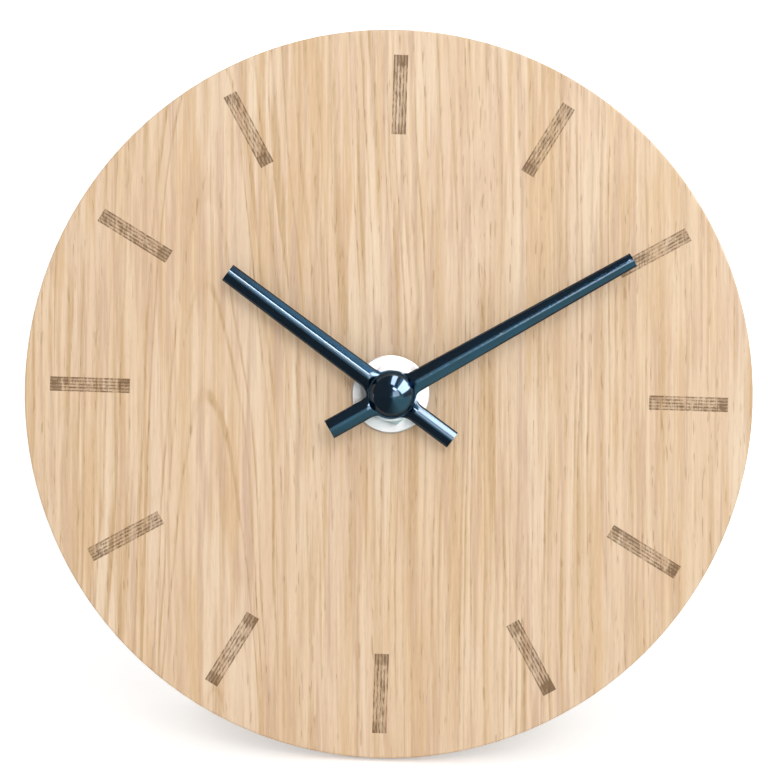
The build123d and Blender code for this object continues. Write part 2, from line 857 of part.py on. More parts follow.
# Minute arbor with the cannon pinion; the seconds arbor turns inside it
minute_bore = seconds_arbor_radius + running_gap
with BuildPart() as minute_arbor:
    add(pinion(hand_place, motion_back, motion_front, motion_module, cannon_teeth))
    add(
        turned(
            hand_place,
            (0, centre_back),
            (minute_arbor_radius, centre_back),
            (minute_arbor_radius, minute_collet_back),
            (minute_thread_radius, minute_collet_back),
            (minute_thread_radius, minute_arbor_front),
            (0, minute_arbor_front),
        )
    )
    with BuildSketch(at(*hand_place, centre_back)):
        Circle(minute_bore)
    extrude(amount=minute_arbor_front - centre_back, mode=Mode.SUBTRACT)
finish(minute_arbor, "minute_arbor")

# Motion wheel: driven by the cannon pinion, drives the hour wheel, and reaches back to the set knob
motion_phase = meshed_phase(motion_bearing, cannon_teeth, motion_teeth)
knob_front = case_back - face_gap
knob_back = knob_front - knob_height
knob_stem_back = knob_front - knob_height / 2
with BuildPart() as motion_wheel:
    add(wheel(motion_place, motion_back, motion_module, motion_teeth, motion_phase))
    add(pinion(motion_place, motion_front, hour_front, hour_module, motion_pinion_teeth))
    add(
        turned(
            motion_place,
            (0, knob_stem_back),
            (knob_stem_radius, knob_stem_back),
            (knob_stem_radius, knob_front),
            (motion_arbor_radius, knob_front),
            (motion_arbor_radius, motion_back),
            (motion_pivot_radius, motion_back),
            (motion_pivot_radius, motion_pivot_front),
            (0, motion_pivot_front),
        )
    )
finish(motion_wheel, "motion_wheel")

# Knob for setting the hands, ribbed round its edge
with BuildPart() as set_knob:
    with BuildSketch(at(*motion_place, knob_back)):
        Circle(knob_radius)
    extrude(amount=knob_height)
    chamfer(set_knob.edges().group_by(dial_axis)[0], knob_edge)
    with BuildSketch(at(*motion_place, knob_back)):
        with PolarLocations(knob_radius, knob_grooves):
            Circle(groove_radius)
    extrude(amount=knob_height, mode=Mode.SUBTRACT)
    with BuildSketch(at(*motion_place, knob_front)):
        Circle(knob_stem_radius + fit_gap)
    extrude(amount=knob_stem_back - end_shake - knob_front, mode=Mode.SUBTRACT)
finish(set_knob, "set_knob")

# Centre wheel, which slips on the minute arbor when the hands are set
centre_phase = meshed_phase(third_bearing + 180, third_pinion_teeth, centre_teeth)
with BuildPart() as centre_wheel:
    add(wheel(hand_place, centre_back, centre_module, centre_teeth, centre_phase, centre_hub_radius))
    with BuildSketch(at(*hand_place, centre_back)):
        Circle(minute_arbor_radius + running_gap)
    extrude(amount=wheel_face, mode=Mode.SUBTRACT)
finish(centre_wheel, "centre_wheel")


def train_arbor(place):
    """Thin arbor with a pivot at each end, from the middle plate to the bridge."""
    return turned(
        place,
        (0, bridge_back + end_shake),
        (pivot_radius, bridge_back + end_shake),
        (pivot_radius, bridge_front + end_shake),
        (train_arbor_radius, bridge_front + end_shake),
        (train_arbor_radius, plate_back - end_shake),
        (pivot_radius, plate_back - end_shake),
        (pivot_radius, plate_front - end_shake),
        (0, plate_front - end_shake),
    )


# Third wheel: driven by the seconds pinion, drives the centre wheel
third_phase = meshed_phase(third_bearing, seconds_pinion_teeth, third_teeth)
with BuildPart() as third_wheel:
    add(wheel(third_place, third_back, third_module, third_teeth, third_phase))
    add(pinion(third_place, third_front, centre_front, centre_module, third_pinion_teeth))
    add(train_arbor(third_place))
finish(third_wheel, "third_wheel")

# Seconds wheel and its steel arbor
with BuildPart() as seconds_wheel:
    add(wheel(hand_place, seconds_back, seconds_module, seconds_teeth))
    add(pinion(hand_place, seconds_front, third_front, third_module, seconds_pinion_teeth))
    with BuildSketch(at(*hand_place, seconds_back)):
        Circle(seconds_arbor_radius + fit_gap)
    extrude(amount=third_front - seconds_back, mode=Mode.SUBTRACT)
finish(seconds_wheel, "seconds_wheel")

with BuildPart() as seconds_arbor:
    add(
        turned(
            hand_place,
            (0, bridge_back + end_shake),
            (pivot_radius, bridge_back + end_shake),
            (pivot_radius, bridge_front + end_shake),
            (seconds_arbor_radius, bridge_front + end_shake),
            (seconds_arbor_radius, minute_arbor_front - end_shake),
            (0, minute_arbor_front - end_shake),
        )
    )
finish(seconds_arbor, "seconds_arbor")

# Fifth wheel: driven by the rotor, drives the seconds wheel
fifth_phase = meshed_phase(fifth_bearing, seconds_teeth, fifth_pinion_teeth)
with BuildPart() as fifth_wheel:
    add(wheel(fifth_place, fifth_back, fifth_module, fifth_teeth))
    add(pinion(fifth_place, fifth_front, seconds_front, seconds_module, fifth_pinion_teeth, fifth_phase))
    add(train_arbor(fifth_place))
finish(fifth_wheel, "fifth_wheel")

# Rotor of the stepping motor: pinion, arbor and ring magnet
rotor_phase = meshed_phase(rotor_bearing, fifth_teeth, rotor_teeth)
magnet_back = (stator_front + stator_back - magnet_height) / 2
magnet_front = magnet_back + magnet_height
with BuildPart() as rotor_pinion:
    add(pinion(rotor_place, fifth_back, fifth_front, fifth_module, rotor_teeth, rotor_phase))
    add(train_arbor(rotor_place))
finish(rotor_pinion, "rotor_pinion")

with BuildPart() as rotor_magnet:
    add(tube(rotor_place, train_arbor_radius + fit_gap, magnet_radius, magnet_back, magnet_front))
finish(rotor_magnet, "rotor_magnet")

# Stator: bar round the rotor, with two arms that reach under the ends of the coil core
arm_left = coil_across - core_width / 2
arm_length = rotor_place[0] - arm_left
with BuildPart() as stator:
    with BuildSketch(at(*hand_place, stator_back)):
        with Locations((rotor_place[0], coil_middle)):
            Rectangle(2 * stator_half, 2 * core_half)
        with Locations((arm_left + arm_length / 2, coil_middle)):
            with GridLocations(0, 2 * arm_up, 1, 2):
                Rectangle(arm_length, stator_arm)
        with Locations(rotor_place):
            Circle(stator_hole_radius, mode=Mode.SUBTRACT)
        with Locations(*stator_pillars):
            Circle(pillar_radius + running_gap, mode=Mode.SUBTRACT)
    extrude(amount=stator_thickness)
finish(stator, "stator")

# Coil: core, bobbin and winding
bobbin_half_width = core_width / 2 + fit_gap + bobbin_wall
bobbin_half_depth = stator_thickness / 2 + fit_gap + bobbin_wall
with BuildPart() as coil_core:
    with BuildSketch(at(coil_across, coil_middle, stator_front)):
        Rectangle(core_width, 2 * core_half)
    extrude(amount=stator_thickness)
finish(coil_core, "coil_core")


def coil_section(up):
    """Plane square to the coil, at a distance up the dial; its y runs outwards."""
    return Plane(
        origin=dial_plane.from_local_coords((coil_across, up, coil_out)),
        x_dir=-dial_plane.x_dir,
        z_dir=dial_plane.y_dir,
    )


coil_low = coil_middle - bobbin_length / 2
winding_width = bobbin_width - 2 * winding_margin
winding_depth = bobbin_depth - 2 * winding_margin
with BuildPart() as coil_bobbin:
    with BuildSketch(coil_section(coil_low)):
        Rectangle(2 * bobbin_half_width, 2 * bobbin_half_depth)
    extrude(amount=bobbin_length)
    with BuildSketch(coil_section(coil_low), coil_section(coil_low + bobbin_length - bobbin_flange)):
        Rectangle(bobbin_width, bobbin_depth)
    extrude(amount=bobbin_flange)
    with BuildSketch(coil_section(coil_low)):
        Rectangle(core_width + 2 * fit_gap, stator_thickness + 2 * fit_gap)
    extrude(amount=bobbin_length, mode=Mode.SUBTRACT)
finish(coil_bobbin, "coil_bobbin")

with BuildPart() as coil_winding:
    with BuildSketch(coil_section(coil_low + bobbin_flange)):
        RectangleRounded(winding_width, winding_depth, winding_corner)
        Rectangle(2 * bobbin_half_width, 2 * bobbin_half_depth, mode=Mode.SUBTRACT)
    extrude(amount=bobbin_length - 2 * bobbin_flange)
finish(coil_winding, "coil_winding")

# Circuit board with its sealed chip and its crystal
with BuildPart() as circuit_board:
    with BuildSketch(at(board_across, board_up, board_back)):
        Rectangle(board_width, board_height)
    extrude(amount=board_thickness)
finish(circuit_board, "circuit_board")

with BuildPart() as driver_chip:
    with BuildSketch(at(board_across, board_up, board_back)):
        Circle(chip_radius)
    extrude(amount=-chip_height)
    fillet(driver_chip.edges().group_by(dial_axis)[0], chip_round)
finish(driver_chip, "driver_chip")

crystal_across = board_right - board_boss_inset
with BuildPart() as quartz_crystal:
    with BuildSketch(
        Plane(
            origin=dial_plane.from_local_coords((crystal_across, board_up, board_back - crystal_radius)),
            x_dir=-dial_plane.x_dir,
            z_dir=dial_plane.y_dir,
        )
    ):
        Circle(crystal_radius)
    extrude(amount=crystal_length)
finish(quartz_crystal, "quartz_crystal")

# Battery, lying across the bay with its button to the right
battery_axis = Axis(dial_plane.from_local_coords((0, battery_up, battery_out)), dial_plane.x_dir)
battery_half = battery_length / 2
with BuildPart() as battery:
    with BuildSketch(at(0, battery_up, battery_out)):
        with BuildLine():
            Polyline(
                (-battery_half, 0),
                (battery_half, 0),
                (battery_half, battery_nub_radius),
                (battery_half - battery_nub_height, battery_nub_radius),
                (battery_half - battery_nub_height, battery_radius),
                (-battery_half, battery_radius),
                close=True,
            )
        make_face()
    revolve(axis=battery_axis)
    fillet(battery.edges().filter_by(GeomType.CIRCLE).group_by(SortBy.RADIUS)[-1], battery_edge)
finish(battery, "battery")

# Positive contact: leaf at the right end of the battery, with a tab on the circuit board
pad_high = battery_up + contact_pad_width / 2
strip_out = battery_out + contact_strip / 2
tab_high = board_up - board_height / 2 + 2 * contact_strip
with BuildPart() as positive_contact:
    with BuildSketch(sideways(contact_face)):
        with Locations((battery_up, battery_out)):
            Rectangle(contact_pad_width, contact_pad_depth)
        with BuildLine():
            Polyline(
                (battery_up, strip_out),
                (tab_high - contact_strip, strip_out),
                (tab_high - contact_strip, board_back),
                (tab_high, board_back),
                (tab_high, strip_out - contact_strip),
                (battery_up, strip_out - contact_strip),
                close=True,
            )
        make_face()
    extrude(amount=contact_sheet)
    with BuildSketch(at(contact_face + contact_sheet, tab_high - contact_strip / 2, board_back)):
        Rectangle(contact_tab_length, contact_strip, align=(Align.MAX, Align.CENTER))
    extrude(amount=-contact_sheet)
finish(positive_contact, "positive_contact")

# Negative contact: leaf at the left end, a strip along the divider and a tab on the board
run_low = divider_high + hole_gap
run_front = front_wall_back - contact_sheet
with BuildPart() as negative_contact:
    with BuildSketch(sideways(-contact_face)):
        with Locations((battery_up, battery_out)):
            Rectangle(contact_pad_width, contact_pad_depth)
        with BuildLine():
            Polyline(
                (pad_high - contact_strip, battery_out),
                (pad_high - contact_strip, run_front),
                (run_low + contact_sheet, run_front),
                (run_low + contact_sheet, board_back),
                (pad_high, board_back),
                (pad_high, battery_out),
                close=True,
            )
        make_face()
        with Locations((battery_up, battery_out)):
            with GridLocations(tongue_width + tongue_slot, 0, 2, 1):
                Rectangle(tongue_slot, tongue_slot_length, mode=Mode.SUBTRACT)
    extrude(amount=-contact_sheet)
    run_length = contact_riser_place + contact_strip / 2 + contact_face + contact_sheet
    run_middle = contact_riser_place + contact_strip / 2 - run_length / 2
    with BuildSketch(at(run_middle, run_low + contact_sheet / 2, run_front)):
        Rectangle(run_length, contact_sheet)
    extrude(amount=board_back - run_front)
    riser_high = board_up - board_height / 2 + contact_strip
    with BuildSketch(at(contact_riser_place, (run_low + riser_high) / 2, board_back)):
        Rectangle(contact_strip, riser_high - run_low)
    extrude(amount=-contact_sheet)
finish(negative_contact, "negative_contact")
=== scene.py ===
"""Looks of the wooden desk clock: its finishes, and the fine shapes that ride on the fixed frame.

Every new shape is modelled in millimetres in the dial's own frame, which leans back: x runs to the
right, y up the dial and z out of its front, from the middle of the dial's back face.
"""

import json
import logging
from dataclasses import dataclass
from enum import Enum
from math import cos, pi, radians, sin, tau
from typing import Iterable, Optional, Sequence, Union

import bmesh
import bpy
from mathutils import Matrix, Vector


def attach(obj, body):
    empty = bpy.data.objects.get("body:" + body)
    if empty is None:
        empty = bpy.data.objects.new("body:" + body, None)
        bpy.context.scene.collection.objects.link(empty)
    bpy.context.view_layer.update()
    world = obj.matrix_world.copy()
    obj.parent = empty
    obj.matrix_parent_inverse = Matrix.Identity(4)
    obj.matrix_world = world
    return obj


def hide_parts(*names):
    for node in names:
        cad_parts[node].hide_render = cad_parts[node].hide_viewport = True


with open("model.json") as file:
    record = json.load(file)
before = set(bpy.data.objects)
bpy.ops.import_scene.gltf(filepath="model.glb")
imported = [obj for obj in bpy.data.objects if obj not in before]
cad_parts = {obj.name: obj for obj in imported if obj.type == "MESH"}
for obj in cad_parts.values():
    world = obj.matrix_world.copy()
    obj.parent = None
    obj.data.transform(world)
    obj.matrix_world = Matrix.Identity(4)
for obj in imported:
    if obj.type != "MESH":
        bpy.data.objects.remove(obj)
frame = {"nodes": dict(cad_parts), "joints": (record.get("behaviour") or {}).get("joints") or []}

log = logging.getLogger("clock")

MM = 0.001


def linear(red: float, green: float, blue: float) -> tuple[float, float, float, float]:
    """Colour for a shader from a colour as a screen shows it, in parts of 255.

    Args:
        red: Red part, 0 to 255.
        green: Green part, 0 to 255.
        blue: Blue part, 0 to 255.

    Returns:
        The linear colour, with full alpha.
    """
    parts = [part / 255 for part in (red, green, blue)]
    parts = [part / 12.92 if part <= 0.04045 else ((part + 0.055) / 1.055) ** 2.4 for part in parts]
    return (parts[0], parts[1], parts[2], 1.0)


class Tone:
    """A socket of a shader that plain sums can be written with."""

    def __init__(self, bench: "Bench", socket: bpy.types.NodeSocket) -> None:
        """Keep the socket and the bench whose nodes it belongs to."""
        self.bench = bench
        self.socket = socket

    def _sum(self, operation: str, *values: "Amount") -> "Tone":
        """Result of one Math node, whose sockets take the values in order."""
        return self.bench.tone("ShaderNodeMath", {"operation": operation}, dict(enumerate(values)))

    def __add__(self, other: "Amount") -> "Tone":
        """Sum."""
        return self._sum("ADD", self, other)

    __radd__ = __add__

    def __sub__(self, other: "Amount") -> "Tone":
        """Difference."""
        return self._sum("SUBTRACT", self, other)

    def __rsub__(self, other: "Amount") -> "Tone":
        """Difference, with the number first."""
        return self._sum("SUBTRACT", other, self)

    def __mul__(self, other: "Amount") -> "Tone":
        """Product."""
        return self._sum("MULTIPLY", self, other)

    __rmul__ = __mul__

    def __truediv__(self, other: "Amount") -> "Tone":
        """Quotient."""
        return self._sum("DIVIDE", self, other)

    def __rtruediv__(self, other: "Amount") -> "Tone":
        """Quotient, with the number first."""
        return self._sum("DIVIDE", other, self)

    def __abs__(self) -> "Tone":
        """Size without its sign."""
        return self._sum("ABSOLUTE", self)

    def root(self) -> "Tone":
        """Square root."""
        return self._sum("SQRT", self)

    def cosine(self) -> "Tone":
        """Cosine of an angle in radians."""
        return self._sum("COSINE", self)

    def sine(self) -> "Tone":
        """Sine of an angle in radians."""
        return self._sum("SINE", self)

    def angle_from(self, across: "Amount") -> "Tone":
        """Angle in radians whose tangent is this height over a distance across."""
        return self._sum("ARCTAN2", self, across)

    def nearest(self) -> "Tone":
        """Nearest whole number."""
        return self._sum("ROUND", self)

    def fraction(self) -> "Tone":
        """Part past the whole number below."""
        return self._sum("FRACT", self)

    def at_most(self, other: "Amount") -> "Tone":
        """Smaller of the two."""
        return self._sum("MINIMUM", self, other)

    def at_least(self, other: "Amount") -> "Tone":
        """Larger of the two."""
        return self._sum("MAXIMUM", self, other)

    def step(self, low: float, high: float) -> "Tone":
        """Rise smoothly from 0 at one value to 1 at another.

        Args:
            low: Value at which the result is 0.
            high: Value at which it is 1; below low for a fall.

        Returns:
            The eased share.
        """
        if low > high:
            return 1 - self.step(high, low)
        ends = {"Value": self, "From Min": low, "From Max": high, "To Min": 0.0, "To Max": 1.0}
        return self.bench.tone("ShaderNodeMapRange", {"interpolation_type": "SMOOTHSTEP"}, ends)


Amount = Union[Tone, float, int]
Shade = tuple[float, float, float, float]
Colour = Union[Tone, Shade]
Place = tuple[Tone, Tone, Tone]
Pair = tuple[float, float]
Options = Optional[dict]
Element = Union[bmesh.types.BMVert, bmesh.types.BMEdge]


class Bench:
    """The nodes of one material or of the world, with the calls that add them."""

    def __init__(self, owner: Union[bpy.types.Material, bpy.types.World]) -> None:
        """Start with an empty set of nodes.

        Args:
            owner: The material or world that the nodes belong to.
        """
        owner.use_nodes = True
        self.tree = owner.node_tree
        self.tree.nodes.clear()

    def node(self, kind: str, settings: Options = None, sockets: Options = None) -> bpy.types.Node:
        """Add one node.

        Args:
            kind: The node's type.
            settings: Its own settings, which are set first.
            sockets: Values or links of its sockets, by name or place.

        Returns:
            The node.
        """
        made = self.tree.nodes.new(kind)
        for name, value in (settings or {}).items():
            setattr(made, name, value)
        for key, value in (sockets or {}).items():
            if isinstance(value, Tone):
                self.tree.links.new(value.socket, made.inputs[key])
            else:
                made.inputs[key].default_value = value
        return made

    def tone(
        self,
        kind: str,
        settings: Options = None,
        sockets: Options = None,
        output: Union[int, str] = 0,
    ) -> Tone:
        """Add one node, as node does, and take the result of this name or place."""
        return Tone(self, self.node(kind, settings, sockets).outputs[output])

    def joined(self, across: Amount, up: Amount, out: Amount) -> Tone:
        """Vector from three values."""
        return self.tone("ShaderNodeCombineXYZ", None, {"X": across, "Y": up, "Z": out})

    def parts(self, vector: Tone) -> Place:
        """The three values of a vector."""
        made = self.node("ShaderNodeSeparateXYZ", None, {"Vector": vector})
        return tuple(Tone(self, made.outputs[axis]) for axis in "XYZ")

    def noise(self, vector: Tone, scale: float, detail: float = 2.0, roughness: float = 0.5) -> Tone:
        """Soft noise, 0 to 1, about 0.5, with finer layers of which each keeps a share of the last."""
        sockets = {"Vector": vector, "Scale": scale, "Detail": detail, "Roughness": roughness}
        return self.tone("ShaderNodeTexNoise", {"noise_dimensions": "3D"}, sockets, "Fac")

    def mixed(self, share: Amount, first: Colour, second: Colour) -> Tone:
        """Mix of two colours, by the share of the second."""
        settings = {"data_type": "RGBA", "blend_type": "MIX", "clamp_factor": True}
        return self.tone("ShaderNodeMix", settings, {0: share, 6: first, 7: second}, 2)

    def bump(self, height: Tone, depth: float) -> Tone:
        """Normal that follows a height, whose depth at 1 is in metres."""
        return self.tone("ShaderNodeBump", None, {"Height": height, "Strength": 1.0, "Distance": depth})

    def rays(self) -> tuple[Tone, Tone, Tone]:
        """Where a ray comes from.

        Returns:
            Whether from the camera, from gloss and through clear stuff, each 0 or 1.
        """
        path = self.node("ShaderNodeLightPath")
        kinds = ("Camera", "Glossy", "Transmission")
        return tuple(Tone(self, path.outputs[f"Is {kind} Ray"]) for kind in kinds)

    def surface(self, **sockets: Union[Amount, Colour]) -> None:
        """End the material in one shader.

        Args:
            sockets: The shader's sockets, with underscores for the spaces in their names.
        """
        named = {name.replace("_", " "): value for name, value in sockets.items()}
        shader = self.tone("ShaderNodeBsdfPrincipled", None, named)
        self.node("ShaderNodeOutputMaterial", None, {"Surface": shader})


def node_reach(name: str, direction: Vector) -> Pair:
    """Least and most distance of a CAD node from the origin along a direction, in metres."""
    along = [vertex.co.dot(direction) for vertex in frame["nodes"][name].data.vertices]
    return min(along), max(along)


@dataclass(frozen=True)
class DialFrame:
    """The dial's own frame, read from the joint that carries the hands."""

    middle: Vector
    across: Vector
    up: Vector
    out: Vector

    @classmethod
    def read(cls) -> "DialFrame":
        """Take the frame from the minute hand's joint and the dial's back face.

        Returns:
            The frame.
        """
        joint = next(j for j in frame["joints"] if j["name"] == "minute_hand_turn")
        out = -Vector(joint["axis"]).normalized()
        across = Vector((1, 0, 0))
        up = out.cross(across).normalized()
        on_axis = Vector(joint["pos_m"])
        back = node_reach("dial_disc", out)[0]
        return cls(on_axis + out * (back - on_axis.dot(out)), across, up, out)

    def height(self, name: str) -> Pair:
        """How high a CAD node stands above the dial's back face.

        Args:
            name: The node's name.

        Returns:
            Its lowest and highest point, in millimetres.
        """
        level = self.middle.dot(self.out)
        low, high = node_reach(name, self.out)
        return (low - level) / MM, (high - level) / MM

    def centre(self, name: str) -> Pair:
        """Where the middle of a CAD node is on the dial.

        Args:
            name: The node's name.

        Returns:
            Its distances across and up, in millimetres.
        """
        spans = []
        for direction in (self.across, self.up):
            low, high = node_reach(name, direction)
            spans.append(((low + high) / 2 - self.middle.dot(direction)) / MM)
        return spans[0], spans[1]

    def size(self, name: str) -> tuple[float, float, float]:
        """Size of a CAD node across, up and out of the dial, in millimetres."""
        spans = (node_reach(name, direction) for direction in (self.across, self.up, self.out))
        return tuple((high - low) / MM for low, high in spans)

    def matrix(self) -> Matrix:
        """Transform from the dial's frame in millimetres to the shared frame in metres."""
        turned = Matrix((self.across, self.up, self.out)).transposed()
        return Matrix.Translation(self.middle) @ turned.to_4x4() @ Matrix.Scale(MM, 4)

    def direction(self, off_normal: float, clock_angle: float) -> Vector:
        """Direction away from the dial.

        Args:
            off_normal: Degrees from straight out of its front.
            clock_angle: Degrees clockwise from twelve, as seen from the front.

        Returns:
            The direction, of length one.
        """
        tilt, turn = radians(off_normal), radians(clock_angle)
        beside = self.across * sin(turn) + self.up * cos(turn)
        return self.out * cos(tilt) + beside * sin(tilt)


dial = DialFrame.read()


def dial_point(bench: Bench, turn: float = 0.0) -> Tone:
    """Place on a piece in the dial's frame, in millimetres.

    Args:
        bench: Where the nodes go.
        turn: Degrees by which the frame is turned in the dial's plane, against the clock.

    Returns:
        The place.
    """
    turned = Matrix((dial.across, dial.up, dial.out)).transposed()
    turned = turned @ Matrix.Rotation(radians(turn), 3, "Z")
    read = bench.tone("ShaderNodeTexCoord", None, None, "Object")
    sockets = {
        "Vector": read,
        "Location": tuple(dial.middle),
        "Rotation": tuple(turned.to_euler("XYZ")),
        "Scale": (MM, MM, MM),
    }
    return bench.tone("ShaderNodeMapping", {"vector_type": "TEXTURE"}, sockets)


@dataclass(frozen=True)
class Finish:
    """A finish, named after the record's slot that it belongs to."""

    slot: str

    def build(self) -> bpy.types.Material:
        """Make the material.

        Returns:
            The material, named after its slot.
        """
        material = bpy.data.materials.new(self.slot)
        self.fill(Bench(material))
        return material

    def fill(self, bench: Bench) -> None:
        """Add the nodes of the finish to the material's empty bench."""
        raise NotImplementedError


@dataclass(frozen=True)
class Grain:
    """One noise of the wood, drawn out along the grain into streaks, in millimetres."""

    width: float
    length: float
    detail: float = 2.0
    roughness: float = 0.6
    shift: float = 0.0

    def read(self, bench: Bench, place: Place) -> Tone:
        """The noise, 0 to 1, at distances across, up and out of the board."""
        across, up, out = (way / size for way, size in zip(place, (self.width, self.length, self.width)))
        return bench.noise(bench.joined(across, up, out + self.shift), 1.0, self.detail, self.roughness)


@dataclass(frozen=True)
class Veil:
    """A tint that the wood takes where one of its noises passes from a low to a high value."""

    grain: Grain
    low: float
    high: float
    share: float
    tint: Shade

    def over(self, bench: Bench, place: Place, under: Colour) -> Tone:
        """Lay the tint over a colour."""
        share = self.grain.read(bench, place).step(self.low, self.high) * self.share
        return bench.mixed(share, under, self.tint)


@dataclass(frozen=True)
class HourMarks:
    """The twelve engraved marks: five fine lines and a bar across each end, burnt unevenly.

    A mark fades over the blur, and its end bars over the end bar, both counted outwards from its
    edges. Each part's burn is its least share and what an uneven noise adds to it.
    """

    middle: float = 61.65
    length: float = 16.3
    width: float = 2.9
    line_width: float = 0.24
    line_count: int = 5
    wander: float = 0.5
    line_fade: Pair = (0.21, 0.07)
    blur: Pair = (0.06, -0.04)
    board_front: Pair = (2.0, 3.0)
    end_bar: Pair = (-2.6, -1.9)
    line_burn: Pair = (0.24, 0.4)
    patch_burn: Pair = (0.13, 0.26)
    end_burn: Pair = (0.12, 0.3)
    all_burn: Pair = (0.1, 0.2)
    most: float = 0.85

    def strength(self, bench: Bench, hatch: Tone) -> Tone:
        """How strongly the engraving browns the wood.

        Args:
            bench: Where the nodes go.
            hatch: The wood's fibres, 0 to 1, which take the burn unevenly.

        Returns:
            The share, 0 to 1.
        """
        across, up, out = bench.parts(dial_point(bench))
        hour = (across.angle_from(up) * (12 / tau)).nearest()
        turn = across.angle_from(up) - hour * (tau / 12)
        reach = (across * across + up * up).root()
        along = reach * turn.cosine() - self.middle
        beside = reach * turn.sine()
        inside = out.step(*self.board_front)
        for place, size in ((along, self.length), (beside, self.width)):
            inside = inside * abs(place).step(*(size / 2 + past for past in self.blur))
        spot = bench.joined(along / 1.1, beside / 0.45, hour * 7.3)
        line = self._lines(bench, beside, spot)
        patch = bench.noise(bench.joined(along / 3.6, beside / 2.4, hour * 3.7), 1.0).step(0.46, 0.68)
        side = along / abs(along).at_least(0.01)
        each = bench.noise(bench.joined(hour * 2.9, side * 5.3, 0.5), 1.0, 0.0).step(0.42, 0.62)
        ends = abs(along).step(*(self.length / 2 + start for start in self.end_bar))
        least, more = self.all_burn
        burnt = hatch * more + least
        for part, (least, more), uneven in (
            (line, self.line_burn, hatch),
            (patch, self.patch_burn, hatch),
            (ends, self.end_burn, each),
        ):
            burnt = burnt + part * (uneven * more + least)
        return (inside * burnt).at_most(self.most)

    def _lines(self, bench: Bench, beside: Tone, spot: Tone) -> Tone:
        """The engraved lines of a mark, which wander a little and fade in places.

        Args:
            bench: Where the nodes go.
            beside: Distance from the mark's middle line, in millimetres.
            spot: Place on the mark for its noises, drawn out along its lines.

        Returns:
            The lines, 0 to 1.
        """
        pitch = (self.width - self.line_width) / (self.line_count - 1)
        wander = (bench.noise(spot, 1.0, 1.0) - 0.5) * self.wander
        line = abs((beside / pitch + 0.5 + wander).fraction() - 0.5) * pitch
        faint = bench.noise(spot, 0.6, 2.0, 0.7).step(0.26, 0.56)
        return line.step(*self.line_fade) * faint


